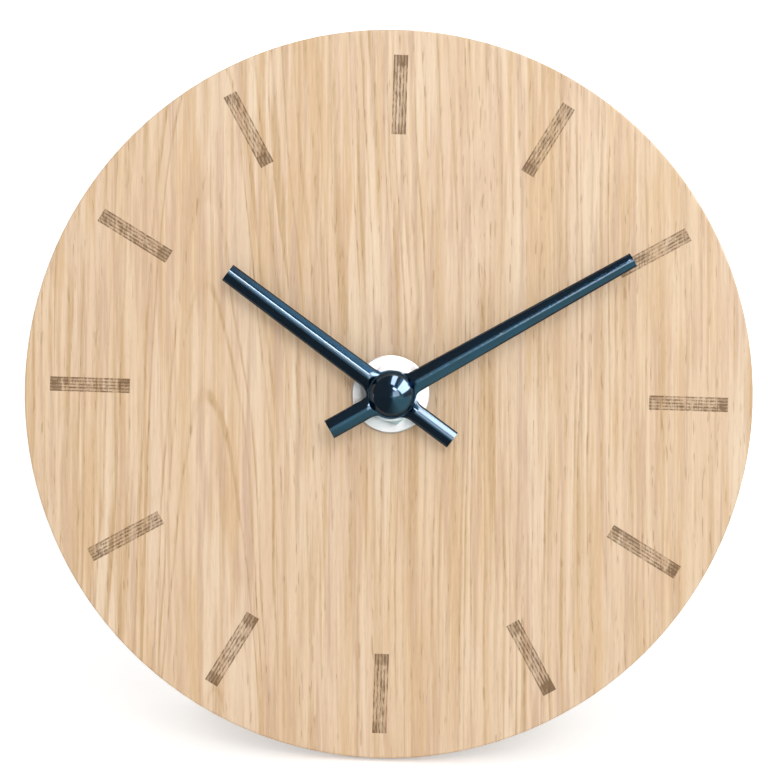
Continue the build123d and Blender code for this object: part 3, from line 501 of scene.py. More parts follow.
@dataclass(frozen=True)
class OakVeneer(Finish):
    """Pale oiled oak, cut flat, with the twelve engraved hour marks.

    The growth rings run round a heart far behind the board, so that the same pattern gives the arched
    figure on the front, the straight lines beside it and the end grain on the rim.
    """

    light: Shade = linear(250, 228, 198)
    pale: Shade = linear(246, 220, 189)
    rose: Shade = linear(238, 208, 177)
    gold: Shade = linear(228, 191, 146)
    pink: Shade = linear(217, 181, 152)
    tan: Shade = linear(213, 175, 130)
    deep: Shade = linear(178, 134, 92)
    burnt: Shade = linear(118, 83, 44)
    grain_turn: float = 1.85
    heart_across: float = -37.5
    heart_depth: float = 7.5
    heart_slope: float = 0.065
    ring_width: float = 1.75
    ring_rise: Pair = (0.0, 0.16)
    ring_fall: Pair = (0.62, 0.2)
    ring_drift: float = 7.0
    depth_drift: float = 3.0
    ring_quiver: float = 0.8
    ring_unevenness: float = 8.0
    heart_side: Pair = (20.0, -50.0)
    drift: Grain = Grain(26, 130, roughness=0.5)
    quiver: Grain = Grain(5, 45, roughness=0.5)
    streak: Grain = Grain(1.5, 60)
    vigour: Grain = Grain(13, 48)
    fibre: Grain = Grain(1 / 3.4, 7, roughness=0.7)
    pore: Grain = Grain(1 / 2.3, 4.6, 1.0, 0.5)
    hair: Grain = Grain(1 / 5.2, 2.4, 1.0, 0.5)
    hatch: Grain = Grain(1 / 2.4, 2.2)
    figure: tuple[Veil, ...] = (
        Veil(Grain(4.2, 75), 0.38, 0.62, 1.0, rose),
        Veil(Grain(2.3, 64, shift=17), 0.47, 0.64, 0.85, gold),
        Veil(Grain(2.0, 52, shift=31), 0.50, 0.66, 0.85, pink),
        Veil(Grain(8, 140, 1.0, 0.5, 53), 0.44, 0.60, 0.3, gold),
    )
    # Painted glints: pale hairline streaks painted into the wood's colour as highlights of light catching
    # its fibres.
    painted_glint: Veil = Veil(Grain(1 / 1.9, 26, 1.0, 0.5), 0.60, 0.74, 0.35, light)
    marks: HourMarks = HourMarks()
    relief: float = 0.00006

    def fill(self, bench: Bench) -> None:
        """Add the wood's rings, pores, engraved lines and painted glints.

        Args:
            bench: The material's empty bench.
        """
        place = bench.parts(dial_point(bench, self.grain_turn))
        early = self._early_wood(bench, place)
        warm = self._warmth(bench, place, early)
        fibre = self.fibre.read(bench, place)
        pore = self.pore.read(bench, place).step(0.60, 0.70) * (0.2 + early * 0.8)
        hair = self.hair.read(bench, place).step(0.58, 0.70) * (0.08 + warm * 0.16)
        hatch = self.hatch.read(bench, place).step(0.36, 0.62)
        mark = self.marks.strength(bench, hatch)
        near_heart = place[0].step(*self.heart_side)
        colour: Colour = self.pale
        for veil in self.figure:
            colour = veil.over(bench, place, colour)
        colour = bench.mixed((warm * (0.72 + near_heart * 0.4)).at_most(1.0), colour, self.tan)
        # Painted highlight: pale glint streaks laid over the colour.
        colour = self.painted_glint.over(bench, place, colour)
        for share, tint in (
            (pore * 0.5 + hair, self.deep),
            (fibre.step(0.42, 0.74) * 0.14, self.tan),
            (fibre.step(0.58, 0.26) * 0.2, self.light),
            (mark, self.burnt),
        ):
            colour = bench.mixed(share, colour, tint)
        rise = fibre - 0.5
        bench.surface(
            Base_Color=colour,
            Roughness=0.55 + pore * 0.2 + rise * 0.12 + mark * 0.15,
            Normal=bench.bump(0.5 - pore * 0.5 + rise * 0.5 - mark * 0.4, self.relief),
            Specular_IOR_Level=0.3,
        )

    def _early_wood(self, bench: Bench, place: Place) -> Tone:
        """The darker, porous part of each growth ring.

        Args:
            bench: Where the nodes go.
            place: Distances across, up and out of the board.

        Returns:
            The early wood, 0 to 1.
        """
        across, up, out = place
        drift = self.drift.read(bench, place) - 0.5
        quiver = self.quiver.read(bench, place) - 0.5
        side = across - self.heart_across + drift * self.ring_drift + quiver * self.ring_quiver
        depth = out + self.heart_depth + up * self.heart_slope + drift * self.depth_drift
        distance = (side * side + depth * depth).root()
        uneven = bench.noise(bench.joined(distance / 5, up / 300, 0.0), 1.0, 2.0, 0.6) - 0.5
        ring = ((distance + uneven * self.ring_unevenness) / self.ring_width).fraction()
        spread = ring / (abs(side) / distance * 0.8 + 0.2).at_most(1.0)
        return spread.step(*self.ring_rise) * spread.step(*self.ring_fall)

    def _warmth(self, bench: Bench, place: Place, early: Tone) -> Tone:
        """How tan the wood is: its early wood, stronger in some regions and streaks, and streaks alone.

        Args:
            bench: Where the nodes go.
            place: Distances across, up and out of the board.
            early: The early wood, 0 to 1.

        Returns:
            The warmth, from 0 up.
        """
        vigour = self.vigour.read(bench, place).step(0.40, 0.60)
        streak = self.streak.read(bench, place)
        rings = early * (0.25 + vigour * 0.65) * (0.45 + streak.step(0.34, 0.60) * 0.75)
        return rings * 0.95 + streak.step(0.50, 0.68) * 0.55


@dataclass(frozen=True)
class Lacquer(Finish):
    """Dark blue lacquer over steel, glossy, that shows teal where light falls on it."""

    shade: Shade = linear(10, 38, 56)
    glow: Shade = linear(16, 66, 96)
    sheen: Shade = (0.25, 0.3, 0.35, 1.0)
    roughness: float = 0.16
    cloud_scale: float = 0.2
    peel_scale: float = 0.9
    dust_scale: float = 5.0
    depth: float = 0.0000008

    def fill(self, bench: Bench) -> None:
        """Add the lacquer, with faint orange peel and dust.

        Args:
            bench: The material's empty bench.
        """
        place = dial_point(bench)
        peel = bench.noise(place, self.peel_scale)
        dust = bench.noise(place, self.dust_scale, 1.0).step(0.74, 0.80)
        cloud = bench.noise(place, self.cloud_scale, 1.0)
        facing = bench.tone("ShaderNodeLayerWeight", None, {"Blend": 0.5}, "Facing")
        bench.surface(
            Base_Color=bench.mixed(cloud, self.shade, self.glow),
            Metallic=0.85,
            Roughness=self.roughness + (peel - 0.5) * 0.03 + dust * 0.12,
            Normal=bench.bump(peel, self.depth),
            Specular_Tint=self.sheen,
            Coat_Weight=facing.step(0.55, 0.25),
            Coat_Roughness=0.07,
            Coat_IOR=1.7,
        )


class Pattern(Enum):
    """How a metal is worked."""

    TURNED = "turned"
    DRAWN = "drawn"


@dataclass(frozen=True)
class Metal(Finish):
    """Bare metal, with the marks of how it was worked."""

    colour: Shade
    dull: Shade
    roughness: float
    pattern: Pattern
    mark_fineness: float = 9.0
    grain_fineness: float = 7.0
    tarnish_scale: float = 0.35
    depth: float = 0.000004

    def fill(self, bench: Bench) -> None:
        """Add the metal, with its tool marks and a little tarnish.

        Args:
            bench: The material's empty bench.
        """
        place = dial_point(bench)
        across, up, out = bench.parts(place)
        if self.pattern is Pattern.TURNED:
            reach = (across * across + up * up).root()
            spot = bench.joined(reach * self.mark_fineness, up.angle_from(across) * 0.5, out * 4)
        else:
            spot = bench.joined(across * self.grain_fineness, up / 3, out * self.grain_fineness)
        marks = bench.noise(spot, 1.0, 3.0, 0.7)
        tarnish = bench.noise(place, self.tarnish_scale, 3.0, 0.6)
        bench.surface(
            Base_Color=bench.mixed(tarnish.step(0.35, 0.75), self.colour, self.dull),
            Metallic=1.0,
            Roughness=self.roughness + (marks - 0.5) * 0.2 + (tarnish - 0.5) * 0.12,
            Normal=bench.bump(marks, self.depth),
        )


@dataclass(frozen=True)
class Moulding(Finish):
    """Moulded plastic, rubber or resin: a fine spark-worn grain and faint flow marks."""

    colour: Shade
    worn: Shade
    roughness: float
    grain: float = 5.0
    depth: float = 0.00001
    flow_scale: float = 0.09
    rub_scale: float = 0.6

    def fill(self, bench: Bench) -> None:
        """Add the plastic with its grain, flow marks and rubbed spots.

        Args:
            bench: The material's empty bench.
        """
        place = dial_point(bench)
        fine = bench.noise(place, self.grain, 2.0, 0.6)
        flow = bench.noise(place, self.flow_scale, 3.0, 0.6).step(0.3, 0.75)
        rubbed = bench.noise(place, self.rub_scale, 3.0, 0.7).step(0.58, 0.8)
        bench.surface(
            Base_Color=bench.mixed(flow * 0.5 + rubbed * 0.35, self.colour, self.worn),
            Roughness=self.roughness + (fine - 0.5) * 0.15 - rubbed * 0.08,
            Normal=bench.bump(fine, self.depth),
        )


@dataclass(frozen=True)
class Jacket(Finish):
    """Printed foil round the battery: two plain bands of colour, with bare steel at its ends."""

    body: Shade = linear(58, 104, 84)
    band: Shade = linear(212, 214, 208)
    steel: Shade = linear(196, 198, 200)
    band_share: float = 0.30
    base_margin: float = 1.0
    button_margin: float = 2.0
    edge_blur: float = 0.1
    band_blur: float = 0.15
    seam_turn: float = 0.6
    seam_width: float = 0.03
    depth: float = 0.00005

    def fill(self, bench: Bench) -> None:
        """Add the two bands, the foil's seam and the steel ends.

        Args:
            bench: The material's empty bench.
        """
        across, up, out = bench.parts(dial_point(bench))
        length = dial.size("battery")[0]
        _, middle_up = dial.centre("battery")
        low, high = dial.height("battery")
        foil: Amount = 1.0
        for reach, margin in ((abs(across), self.base_margin), (across, self.button_margin)):
            edge = length / 2 - margin
            foil = reach.step(edge + self.edge_blur, edge - self.edge_blur) * foil
        band_end = length * (0.5 - self.band_share)
        rub = bench.noise(bench.joined(across * 0.4, up * 2, out * 2), 1.0, 3.0, 0.7)
        printed = bench.mixed(across.step(band_end, band_end + self.band_blur), self.body, self.band)
        printed = bench.mixed(rub.step(0.66, 0.9) * 0.4, printed, self.steel)
        colour = bench.mixed(foil, self.steel, printed)
        turn = (up - middle_up).angle_from(out - (low + high) / 2)
        seam = abs(turn - self.seam_turn).step(self.seam_width, 0.0) * foil
        bench.surface(
            Base_Color=colour,
            Metallic=0.85 - foil * 0.25,
            Roughness=0.3 + (rub - 0.5) * 0.16,
            Normal=bench.bump(seam + rub * 0.1, self.depth),
            Coat_Weight=foil * 0.5,
        )


class Kit:
    """All finishes of the clock, each made once."""

    def __init__(self) -> None:
        """Make every finish.

        A metal has its colour, its dull colour, roughness and pattern; a moulding its colour, its worn
        colour, roughness and, where they differ from the usual, the fineness and depth of its grain.
        """
        finishes = (
            OakVeneer("oak_dial"),
            Metal("stand_steel", linear(212, 213, 214), linear(203, 205, 206), 0.42, Pattern.DRAWN),
            Moulding("gasket_rubber", linear(24, 24, 25), linear(44, 44, 45), 0.7, 3.0, 0.00002),
            Metal("bright_steel", linear(249, 241, 241), linear(239, 231, 231), 0.46, Pattern.TURNED),
            Metal("brass", linear(214, 176, 104), linear(176, 138, 78), 0.25, Pattern.TURNED),
            Lacquer("hand_enamel"),
            Moulding("case_plastic", linear(34, 35, 38), linear(56, 57, 60), 0.5),
            Moulding("plate_plastic", linear(226, 224, 216), linear(206, 203, 193), 0.4),
            Moulding("wheel_plastic", linear(238, 236, 228), linear(222, 218, 206), 0.32, 4.0, 0.000004),
            Moulding("knob_plastic", linear(214, 212, 206), linear(190, 188, 180), 0.42),
            Moulding("magnet", linear(52, 50, 50), linear(78, 76, 76), 0.5, 7.0),
            Metal("motor_iron", linear(168, 170, 172), linear(120, 121, 124), 0.38, Pattern.DRAWN),
            Metal("copper_winding", linear(196, 106, 62), linear(160, 78, 44), 0.3, Pattern.DRAWN),
            Moulding("circuit_laminate", linear(34, 88, 56), linear(60, 112, 78), 0.35, 6.0, 0.000006),
            Moulding("chip_resin", linear(22, 22, 24), linear(38, 38, 41), 0.25, 1.0, 0.00002),
            Metal("contact_steel", linear(206, 204, 198), linear(170, 166, 156), 0.3, Pattern.DRAWN),
            Jacket("battery_jacket"),
        )
        self.made = {finish.slot: finish.build() for finish in finishes}

    def dress_nodes(self) -> None:
        """Give each CAD node the finish of its slot in the record."""
        for name, node in sorted(frame["nodes"].items()):
            for place in node.material_slots:
                slot = place.material.name.split(".")[0]
                place.material = self.made[slot]
                log.info("dressed %s in %s", name, slot)


def placed(name: str, data: bpy.types.ID) -> bpy.types.Object:
    """New object of the scene.

    Args:
        name: The object's name.
        data: The mesh, lamp or camera that it holds.

    Returns:
        The object.
    """
    made = bpy.data.objects.new(name, data)
    bpy.context.scene.collection.objects.link(made)
    return made


def shaped(name: str, shape: bmesh.types.BMesh) -> bpy.types.Object:
    """New object of the scene with a finished shape, which is used up.

    Args:
        name: The object's name, and its mesh's.
        shape: The shape.

    Returns:
        The object.
    """
    data = bpy.data.meshes.new(name)
    shape.to_mesh(data)
    shape.free()
    return placed(name, data)


class Blank:
    """A new shape in the dial's frame, in millimetres, until it is set in place."""

    def __init__(self) -> None:
        """Start with nothing."""
        self.mesh = bmesh.new()

    def move(self, vertices: Iterable[bmesh.types.BMVert], step: Sequence[float]) -> None:
        """Move some of its points."""
        bmesh.ops.translate(self.mesh, verts=list(vertices), vec=Vector(step))

    def turn(self, vertices: Iterable[bmesh.types.BMVert], degrees: float, axis: str) -> None:
        """Turn some of its points about an axis of the frame."""
        turned = Matrix.Rotation(radians(degrees), 3, axis)
        bmesh.ops.rotate(self.mesh, verts=list(vertices), cent=(0, 0, 0), matrix=turned)

    def lathe(self, profile: Sequence[Pair], steps: int) -> list[bmesh.types.BMVert]:
        """Spin a profile about the frame's z.

        Args:
            profile: Corners of radius and height; a radius of zero closes a pole.
            steps: Sides of the turned shape.

        Returns:
            The shape's points.
        """
        corners = [self.mesh.verts.new((radius, 0, height)) for radius, height in profile]
        edges = [self.mesh.edges.new(pair) for pair in zip(corners, corners[1:])]
        bmesh.ops.spin(
            self.mesh,
            geom=corners + edges,
            cent=(0, 0, 0),
            axis=(0, 0, 1),
            angle=tau,
            steps=steps,
            use_merge=True,
        )
        bmesh.ops.remove_doubles(self.mesh, verts=self.mesh.verts[:], dist=0.0005)
        return self.mesh.verts[:]

    def bevel(self, parts: Iterable[Element], width: float, steps: int, affect: str) -> None:
        """Round off some of its edges or corners."""
        bmesh.ops.bevel(
            self.mesh,
            geom=list(parts),
            offset=width,
            segments=steps,
            profile=0.5,
            affect=affect,
            material=-1,
        )

    def bar(self, place: Sequence[float], size: Sequence[float], edge: float = 0.0) -> None:
        """Add a block.

        Args:
            place: Its middle.
            size: Its length, width and height.
            edge: Width of the bevel on its edges.
        """
        matrix = Matrix.Translation(Vector(place)) @ Matrix.Diagonal((*size, 1))
        points = bmesh.ops.create_cube(self.mesh, size=1.0, matrix=matrix)["verts"]
        if edge:
            self.bevel({line for point in points for line in point.link_edges}, edge, 2, "EDGES")

    def dome(self, place: Sequence[float], radius: float, height: float) -> None:
        """Add a drop of solder: a flattened ball half sunk in what it sits on."""
        matrix = Matrix.Translation(Vector(place)) @ Matrix.Diagonal((radius, radius, height, 1))
        bmesh.ops.create_uvsphere(self.mesh, u_segments=20, v_segments=12, radius=1.0, matrix=matrix)

    def wire(self, path: Sequence[Sequence[float]], radius: float, sides: int = 10) -> None:
        """Add a round wire with closed ends.

        Args:
            path: The points that its middle runs through.
            radius: Its radius.
            sides: Its sides.
        """
        points = [Vector(point) for point in path]
        last = len(points) - 1
        rings = []
        for index, point in enumerate(points):
            ahead = points[min(index + 1, last)] - points[max(index - 1, 0)]
            made = bmesh.ops.create_circle(
                self.mesh,
                cap_ends=index in (0, last),
                segments=sides,
                radius=radius,
                matrix=Matrix.Translation(point) @ ahead.to_track_quat("Z", "Y").to_matrix().to_4x4(),
            )
            rings.append(list({line for corner in made["verts"] for line in corner.link_edges}))
        for first, second in zip(rings, rings[1:]):
            bmesh.ops.bridge_loops(self.mesh, edges=first + second)

    def set_in(self, name: str, body: str, slot: str, kit: Kit, crease: float = 35.0) -> bpy.types.Object:
        """Put the shape in place on a body of the frame.

        Args:
            name: The piece's name.
            body: The body that carries it.
            slot: The record's slot of its finish.
            kit: The finishes.
            crease: Degrees past which an edge is sharp.

        Returns:
            The piece.
        """
        bmesh.ops.recalc_face_normals(self.mesh, faces=self.mesh.faces[:])
        bmesh.ops.transform(self.mesh, matrix=dial.matrix(), verts=self.mesh.verts[:])
        for face in self.mesh.faces:
            face.smooth = True
        piece = shaped(name, self.mesh)
        piece.data.set_sharp_from_angle(angle=radians(crease))
        piece.data.materials.append(kit.made[slot])
        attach(piece, body)
        log.info("set %s on %s", name, body)
        return piece


@dataclass
class Battery:
    """The cell: crimped steel can in its foil, with the button and its insulating ring."""

    edge: float = 0.5
    crimp: float = 0.25
    base_ring: tuple[float, ...] = (0.62, 0.66, 0.84, 0.88)
    button_radius: float = 2.75
    button_height: float = 1.3
    steps: int = 72

    def build(self, kit: Kit) -> None:
        """Make the cell and let it stand for the plain one.

        Args:
            kit: The finishes.
        """
        length, width, _ = dial.size("battery")
        radius, half = width / 2, length / 2
        shoulder = half - self.button_height
        ring = [radius * share for share in self.base_ring]
        blank = Blank()
        profile = (
            (0, self.crimp - half),
            (ring[0], self.crimp - half),
            (ring[1], -half),
            (ring[2], -half),
            (ring[3], self.crimp - half),
            (radius - self.edge, self.crimp / 2 - half),
            (radius - self.edge / 3, self.edge / 3 - half),
            (radius, self.edge - half),
            (radius, shoulder - self.edge),
            (radius - self.edge / 3, shoulder - self.edge / 3),
            (radius - self.edge, shoulder),
            (radius - 2 * self.edge, shoulder),
            (radius - 2.4 * self.edge, shoulder - 2 * self.crimp),
            (self.button_radius + self.edge, shoulder - 2 * self.crimp),
            (self.button_radius, shoulder - self.crimp),
            (self.button_radius, half - self.crimp),
            (self.button_radius - self.crimp, half),
            (0, half),
        )
        points = blank.lathe(profile, self.steps)
        across, up = dial.centre("battery")
        low, high = dial.height("battery")
        blank.turn(points, 90, "Y")
        blank.move(points, (across, up, (low + high) / 2))
        piece = blank.set_in("battery_cell", "battery", "battery_jacket", kit)
        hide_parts("battery")


@dataclass
class Coil:
    """The motor's coil: rows of fine wire wound round the bobbin."""

    turns: int = 46
    wire: float = 0.36
    corner: float = 1.6
    corner_steps: int = 5
    crease: float = 60.0

    def build(self, kit: Kit) -> None:
        """Make the ribbed outer layer of wire and let it stand for the plain winding.

        Args:
            kit: The finishes.
        """
        width, length, depth = dial.size("coil_winding")
        across, up = dial.centre("coil_winding")
        low, high = dial.height("coil_winding")
        blank = Blank()
        pitch = length / self.turns
        grid = bmesh.ops.create_grid(blank.mesh, x_segments=1, y_segments=1, size=0.5)
        points = grid["verts"]
        bmesh.ops.scale(blank.mesh, vec=(width - self.wire, depth - self.wire, 1), verts=points)
        blank.bevel(points, self.corner, self.corner_steps, "VERTICES")
        edges = blank.mesh.edges[:]
        for step in range(2 * self.turns):
            made = bmesh.ops.extrude_edge_only(blank.mesh, edges=edges)["geom"]
            points = [item for item in made if isinstance(item, bmesh.types.BMVert)]
            edges = [line for line in made if isinstance(line, bmesh.types.BMEdge)]
            edges = [line for line in edges if all(end in points for end in line.verts)]
            grow = self.wire if step % 2 == 0 else -self.wire
            blank.move(points, (0, 0, pitch / 2))
            bmesh.ops.scale(blank.mesh, vec=(1 + grow / width, 1 + grow / depth, 1), verts=points)
        bmesh.ops.edgeloop_fill(blank.mesh, edges=edges)
        points = blank.mesh.verts[:]
        blank.turn(points, -90, "X")
        blank.move(points, (across, up - length / 2, (low + high) / 2))
        piece = blank.set_in("coil_wire", "case", "copper_winding", kit, self.crease)
        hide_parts("coil_winding")


def bent(path: Sequence[Sequence[float]], steps: int = 6, sharpness: float = 0.6) -> list[Vector]:
    """Path with its corners rounded off.

    Args:
        path: The corners.
        steps: Pieces that each corner is drawn in.
        sharpness: Share of the way to a corner at which the path leaves its side.

    Returns:
        The finer path.
    """
    points = [Vector(point) for point in path]
    finer = [points[0]]
    for before, corner, after in zip(points, points[1:], points[2:]):
        start, end = before.lerp(corner, sharpness), after.lerp(corner, sharpness)
        for step in range(steps + 1):
            share = step / steps
            finer.append(start.lerp(corner, share).lerp(corner.lerp(end, share), share))
    return finer + [points[-1]]


@dataclass
class CoverSigns:
    """Raised signs on the back: plus and minus beside the battery, arrows round the setting knob."""

    height: float = 0.35
    stroke: float = 0.7
    arm: float = 3.4
    spread: float = 21.0
    gap: float = 3.0
    arrow_gap: float = 3.2
    arrow_span: float = 70.0
    arrow_steps: int = 16
    head: float = 1.5
    edge: float = 0.08
    tuck: float = 0.02

    def build(self, kit: Kit) -> None:
        """Make the signs in one piece with the cover's look.

        Args:
            kit: The finishes.
        """
        blank = Blank()
        level = dial.height("rear_cover")[0]
        up = dial.centre("battery")[1] + dial.size("battery")[1] / 2 + self.gap
        thickness = self.height * 2
        for side in (1, -1):
            blank.bar((side * self.spread, up, level), (self.arm, self.stroke, thickness), self.edge)
        short = (self.arm - self.stroke) / 2
        for side in (1, -1):
            place = (self.spread, up + side * (self.stroke + short) / 2, level)
            blank.bar(place, (self.stroke, short, thickness - self.tuck), self.edge)
        self._arrows(blank, level)
        blank.set_in("cover_signs", "case", "case_plastic", kit)

    def _arrows(self, blank: Blank, level: float) -> None:
        """Two bent arrows, one on each side of the knob.

        Args:
            blank: Where they are added.
            level: Height of the face that they stand on.
        """
        middle = Vector((*dial.centre("set_knob"), 0))
        radius = dial.size("set_knob")[0] / 2 + self.arrow_gap
        half = self.stroke / 2
        for start in (-self.arrow_span / 2, 180 - self.arrow_span / 2):
            turned = Matrix.Rotation(radians(start), 3, "Z")
            corners = []
            for beside, rise in ((-half, -1), (half, -1), (half, 1), (-half, 1)):
                place = middle + turned @ Vector((radius + beside, 0, level + rise * self.height))
                corners.append(blank.mesh.verts.new(place))
            bmesh.ops.spin(
                blank.mesh,
                geom=[blank.mesh.faces.new(corners)],
                cent=middle,
                axis=(0, 0, 1),
                angle=radians(self.arrow_span),
                steps=self.arrow_steps,
            )
            turn = start + self.arrow_span
            tip = middle + Matrix.Rotation(radians(turn), 3, "Z") @ Vector((radius, 0, level))
            aim = Matrix.Rotation(radians(turn + 90), 4, "Z") @ Matrix.Translation((self.head / 2, 0, 0))
            bmesh.ops.create_cone(
                blank.mesh,
                cap_ends=True,
                segments=3,
                radius1=self.head,
                radius2=self.head,
                depth=2 * self.height,
                matrix=Matrix.Translation(tip) @ aim @ Matrix.Rotation(radians(-90), 4, "Z"),
            )


@dataclass
class Wiring:
    """Tin tracks and solder on the board, the crystal's legs and the coil's two leads.

    A pair holds the value of the first and of the second leg, pad or lead. The crossing is the share
    of their thickness that tracks across others have.
    """

    track: float = 0.5
    thickness: float = 0.08
    crossing: float = 0.9
    solder: float = 0.8
    solder_height: float = 0.4
    leg: float = 0.16
    leg_spread: float = 0.45
    leg_drops: Pair = (1.3, 2.2)
    leg_solder: float = 0.44
    leg_solder_height: float = 0.35
    pad_inset: float = 1.6
    pad_drops: Pair = (4.2, 6.4)
    lead: float = 0.09
    lead_spread: float = 1.4
    lead_rises: Pair = (3.3, 2.2)
    lead_depths: tuple[float, ...] = (0.9, 1.1, 1.1, 0.1)
    lead_overlap: float = 1.2
    lead_run_out: float = 2.5
    lead_steps: int = 10
    lead_sides: int = 8

    def build(self, kit: Kit) -> None:
        """Make the tracks with their solder, the legs and the leads.

        Args:
            kit: The finishes.
        """
        across, up = dial.centre("circuit_board")
        width, height, _ = dial.size("circuit_board")
        level = dial.height("circuit_board")[0]
        crystal, crystal_up = dial.centre("quartz_crystal")
        _, crystal_height, crystal_depth = dial.size("quartz_crystal")
        foot = crystal_up - crystal_height / 2
        left, top = across - width / 2, up + height / 2
        pads = [(left + self.pad_inset, top - drop) for drop in self.pad_drops]
        tracks, legs = Blank(), Blank()
        for side, drop, pad in zip((-1, 1), self.leg_drops, pads):
            leg = (crystal + side * self.leg_spread, foot - drop)
            start = (leg[0], foot, level - crystal_depth / 2)
            legs.wire(bent((start, (*leg, start[2]), (*leg, level))), self.leg)
            self._track(tracks, (across, leg[1], level), leg[0])
            tracks.dome((*leg, level), self.leg_solder, self.leg_solder_height)
            tracks.dome((*pad, level), self.solder, self.solder_height)
            self._track(tracks, (*pad, level), across)
            run = pad[1] - up
            tracks.bar((across, up + run / 2, level), (self.track, run, self.thickness * self.crossing))
        tracks.set_in("board_tracks", "case", "contact_steel", kit)
        legs.set_in("crystal_legs", "case", "bright_steel", kit)
        self._leads(kit, pads, level)

    def _track(self, tracks: Blank, start: tuple[float, float, float], end: float) -> None:
        """Lay a track straight across the board, from a place to a distance across."""
        across, up, level = start
        tracks.bar(((across + end) / 2, up, level), (end - across, self.track, self.thickness))

    def _leads(self, kit: Kit, pads: Sequence[Pair], level: float) -> None:
        """The coil's leads, round the top of the plates to their pads.

        Args:
            kit: The finishes.
            pads: Where they are soldered.
            level: Height of the board's face.
        """
        coil, middle = dial.centre("coil_bobbin")
        flange = middle + dial.size("coil_bobbin")[1] / 2
        above = dial.size("train_bridge")[1] / 2 + dial.centre("train_bridge")[1]
        leads = Blank()
        for side, rise, pad in zip((1, -1), self.lead_rises, pads):
            beside = coil + side * self.lead_spread
            corners = (
                (beside, flange - self.lead_overlap),
                (beside, above + rise),
                (pad[0] - self.lead_run_out, above + rise),
                pad,
            )
            path = [(*corner, level - depth) for corner, depth in zip(corners, self.lead_depths)]
            leads.wire(bent(path, self.lead_steps), self.lead, self.lead_sides)
        leads.set_in("coil_leads", "case", "copper_winding", kit)


class Reach(Enum):
    """What a lamp acts on."""

    ALL = "all"
    GLOSS = "gloss"
    SHADE = "shade"


@dataclass(frozen=True)
class Lamp:
    """A flat lamp or card turned towards the dial, behind it past 90 degrees off its front.

    The glow is how bright its face is, where 1 is white.
    """

    name: str
    off_normal: float
    clock_angle: float
    distance: float
    width: float
    height: float
    glow: float
    reach: Reach = Reach.ALL
    shift: float = 0.0
    colour: tuple[float, float, float] = (1.0, 1.0, 1.0)

    def build(self) -> None:
        """Hang the lamp, its height along the line out from the dial's middle."""
        data = bpy.data.lights.new(self.name, "AREA")
        data.shape = "RECTANGLE"
        data.size, data.size_y = self.width, self.height
        data.energy = self.glow * pi * self.width * self.height
        data.color = self.colour
        lamp = placed(self.name, data)
        away = dial.direction(self.off_normal, self.clock_angle)
        beside = dial.direction(90, self.clock_angle - 90)
        turned = Matrix((beside, away.cross(beside), away)).transposed().to_4x4()
        place = dial.middle + away * self.distance + beside * self.shift
        lamp.matrix_world = Matrix.Translation(place) @ turned
        lamp.visible_camera = False
        lamp.visible_diffuse = self.reach is not Reach.GLOSS
        lamp.visible_glossy = self.reach is not Reach.SHADE


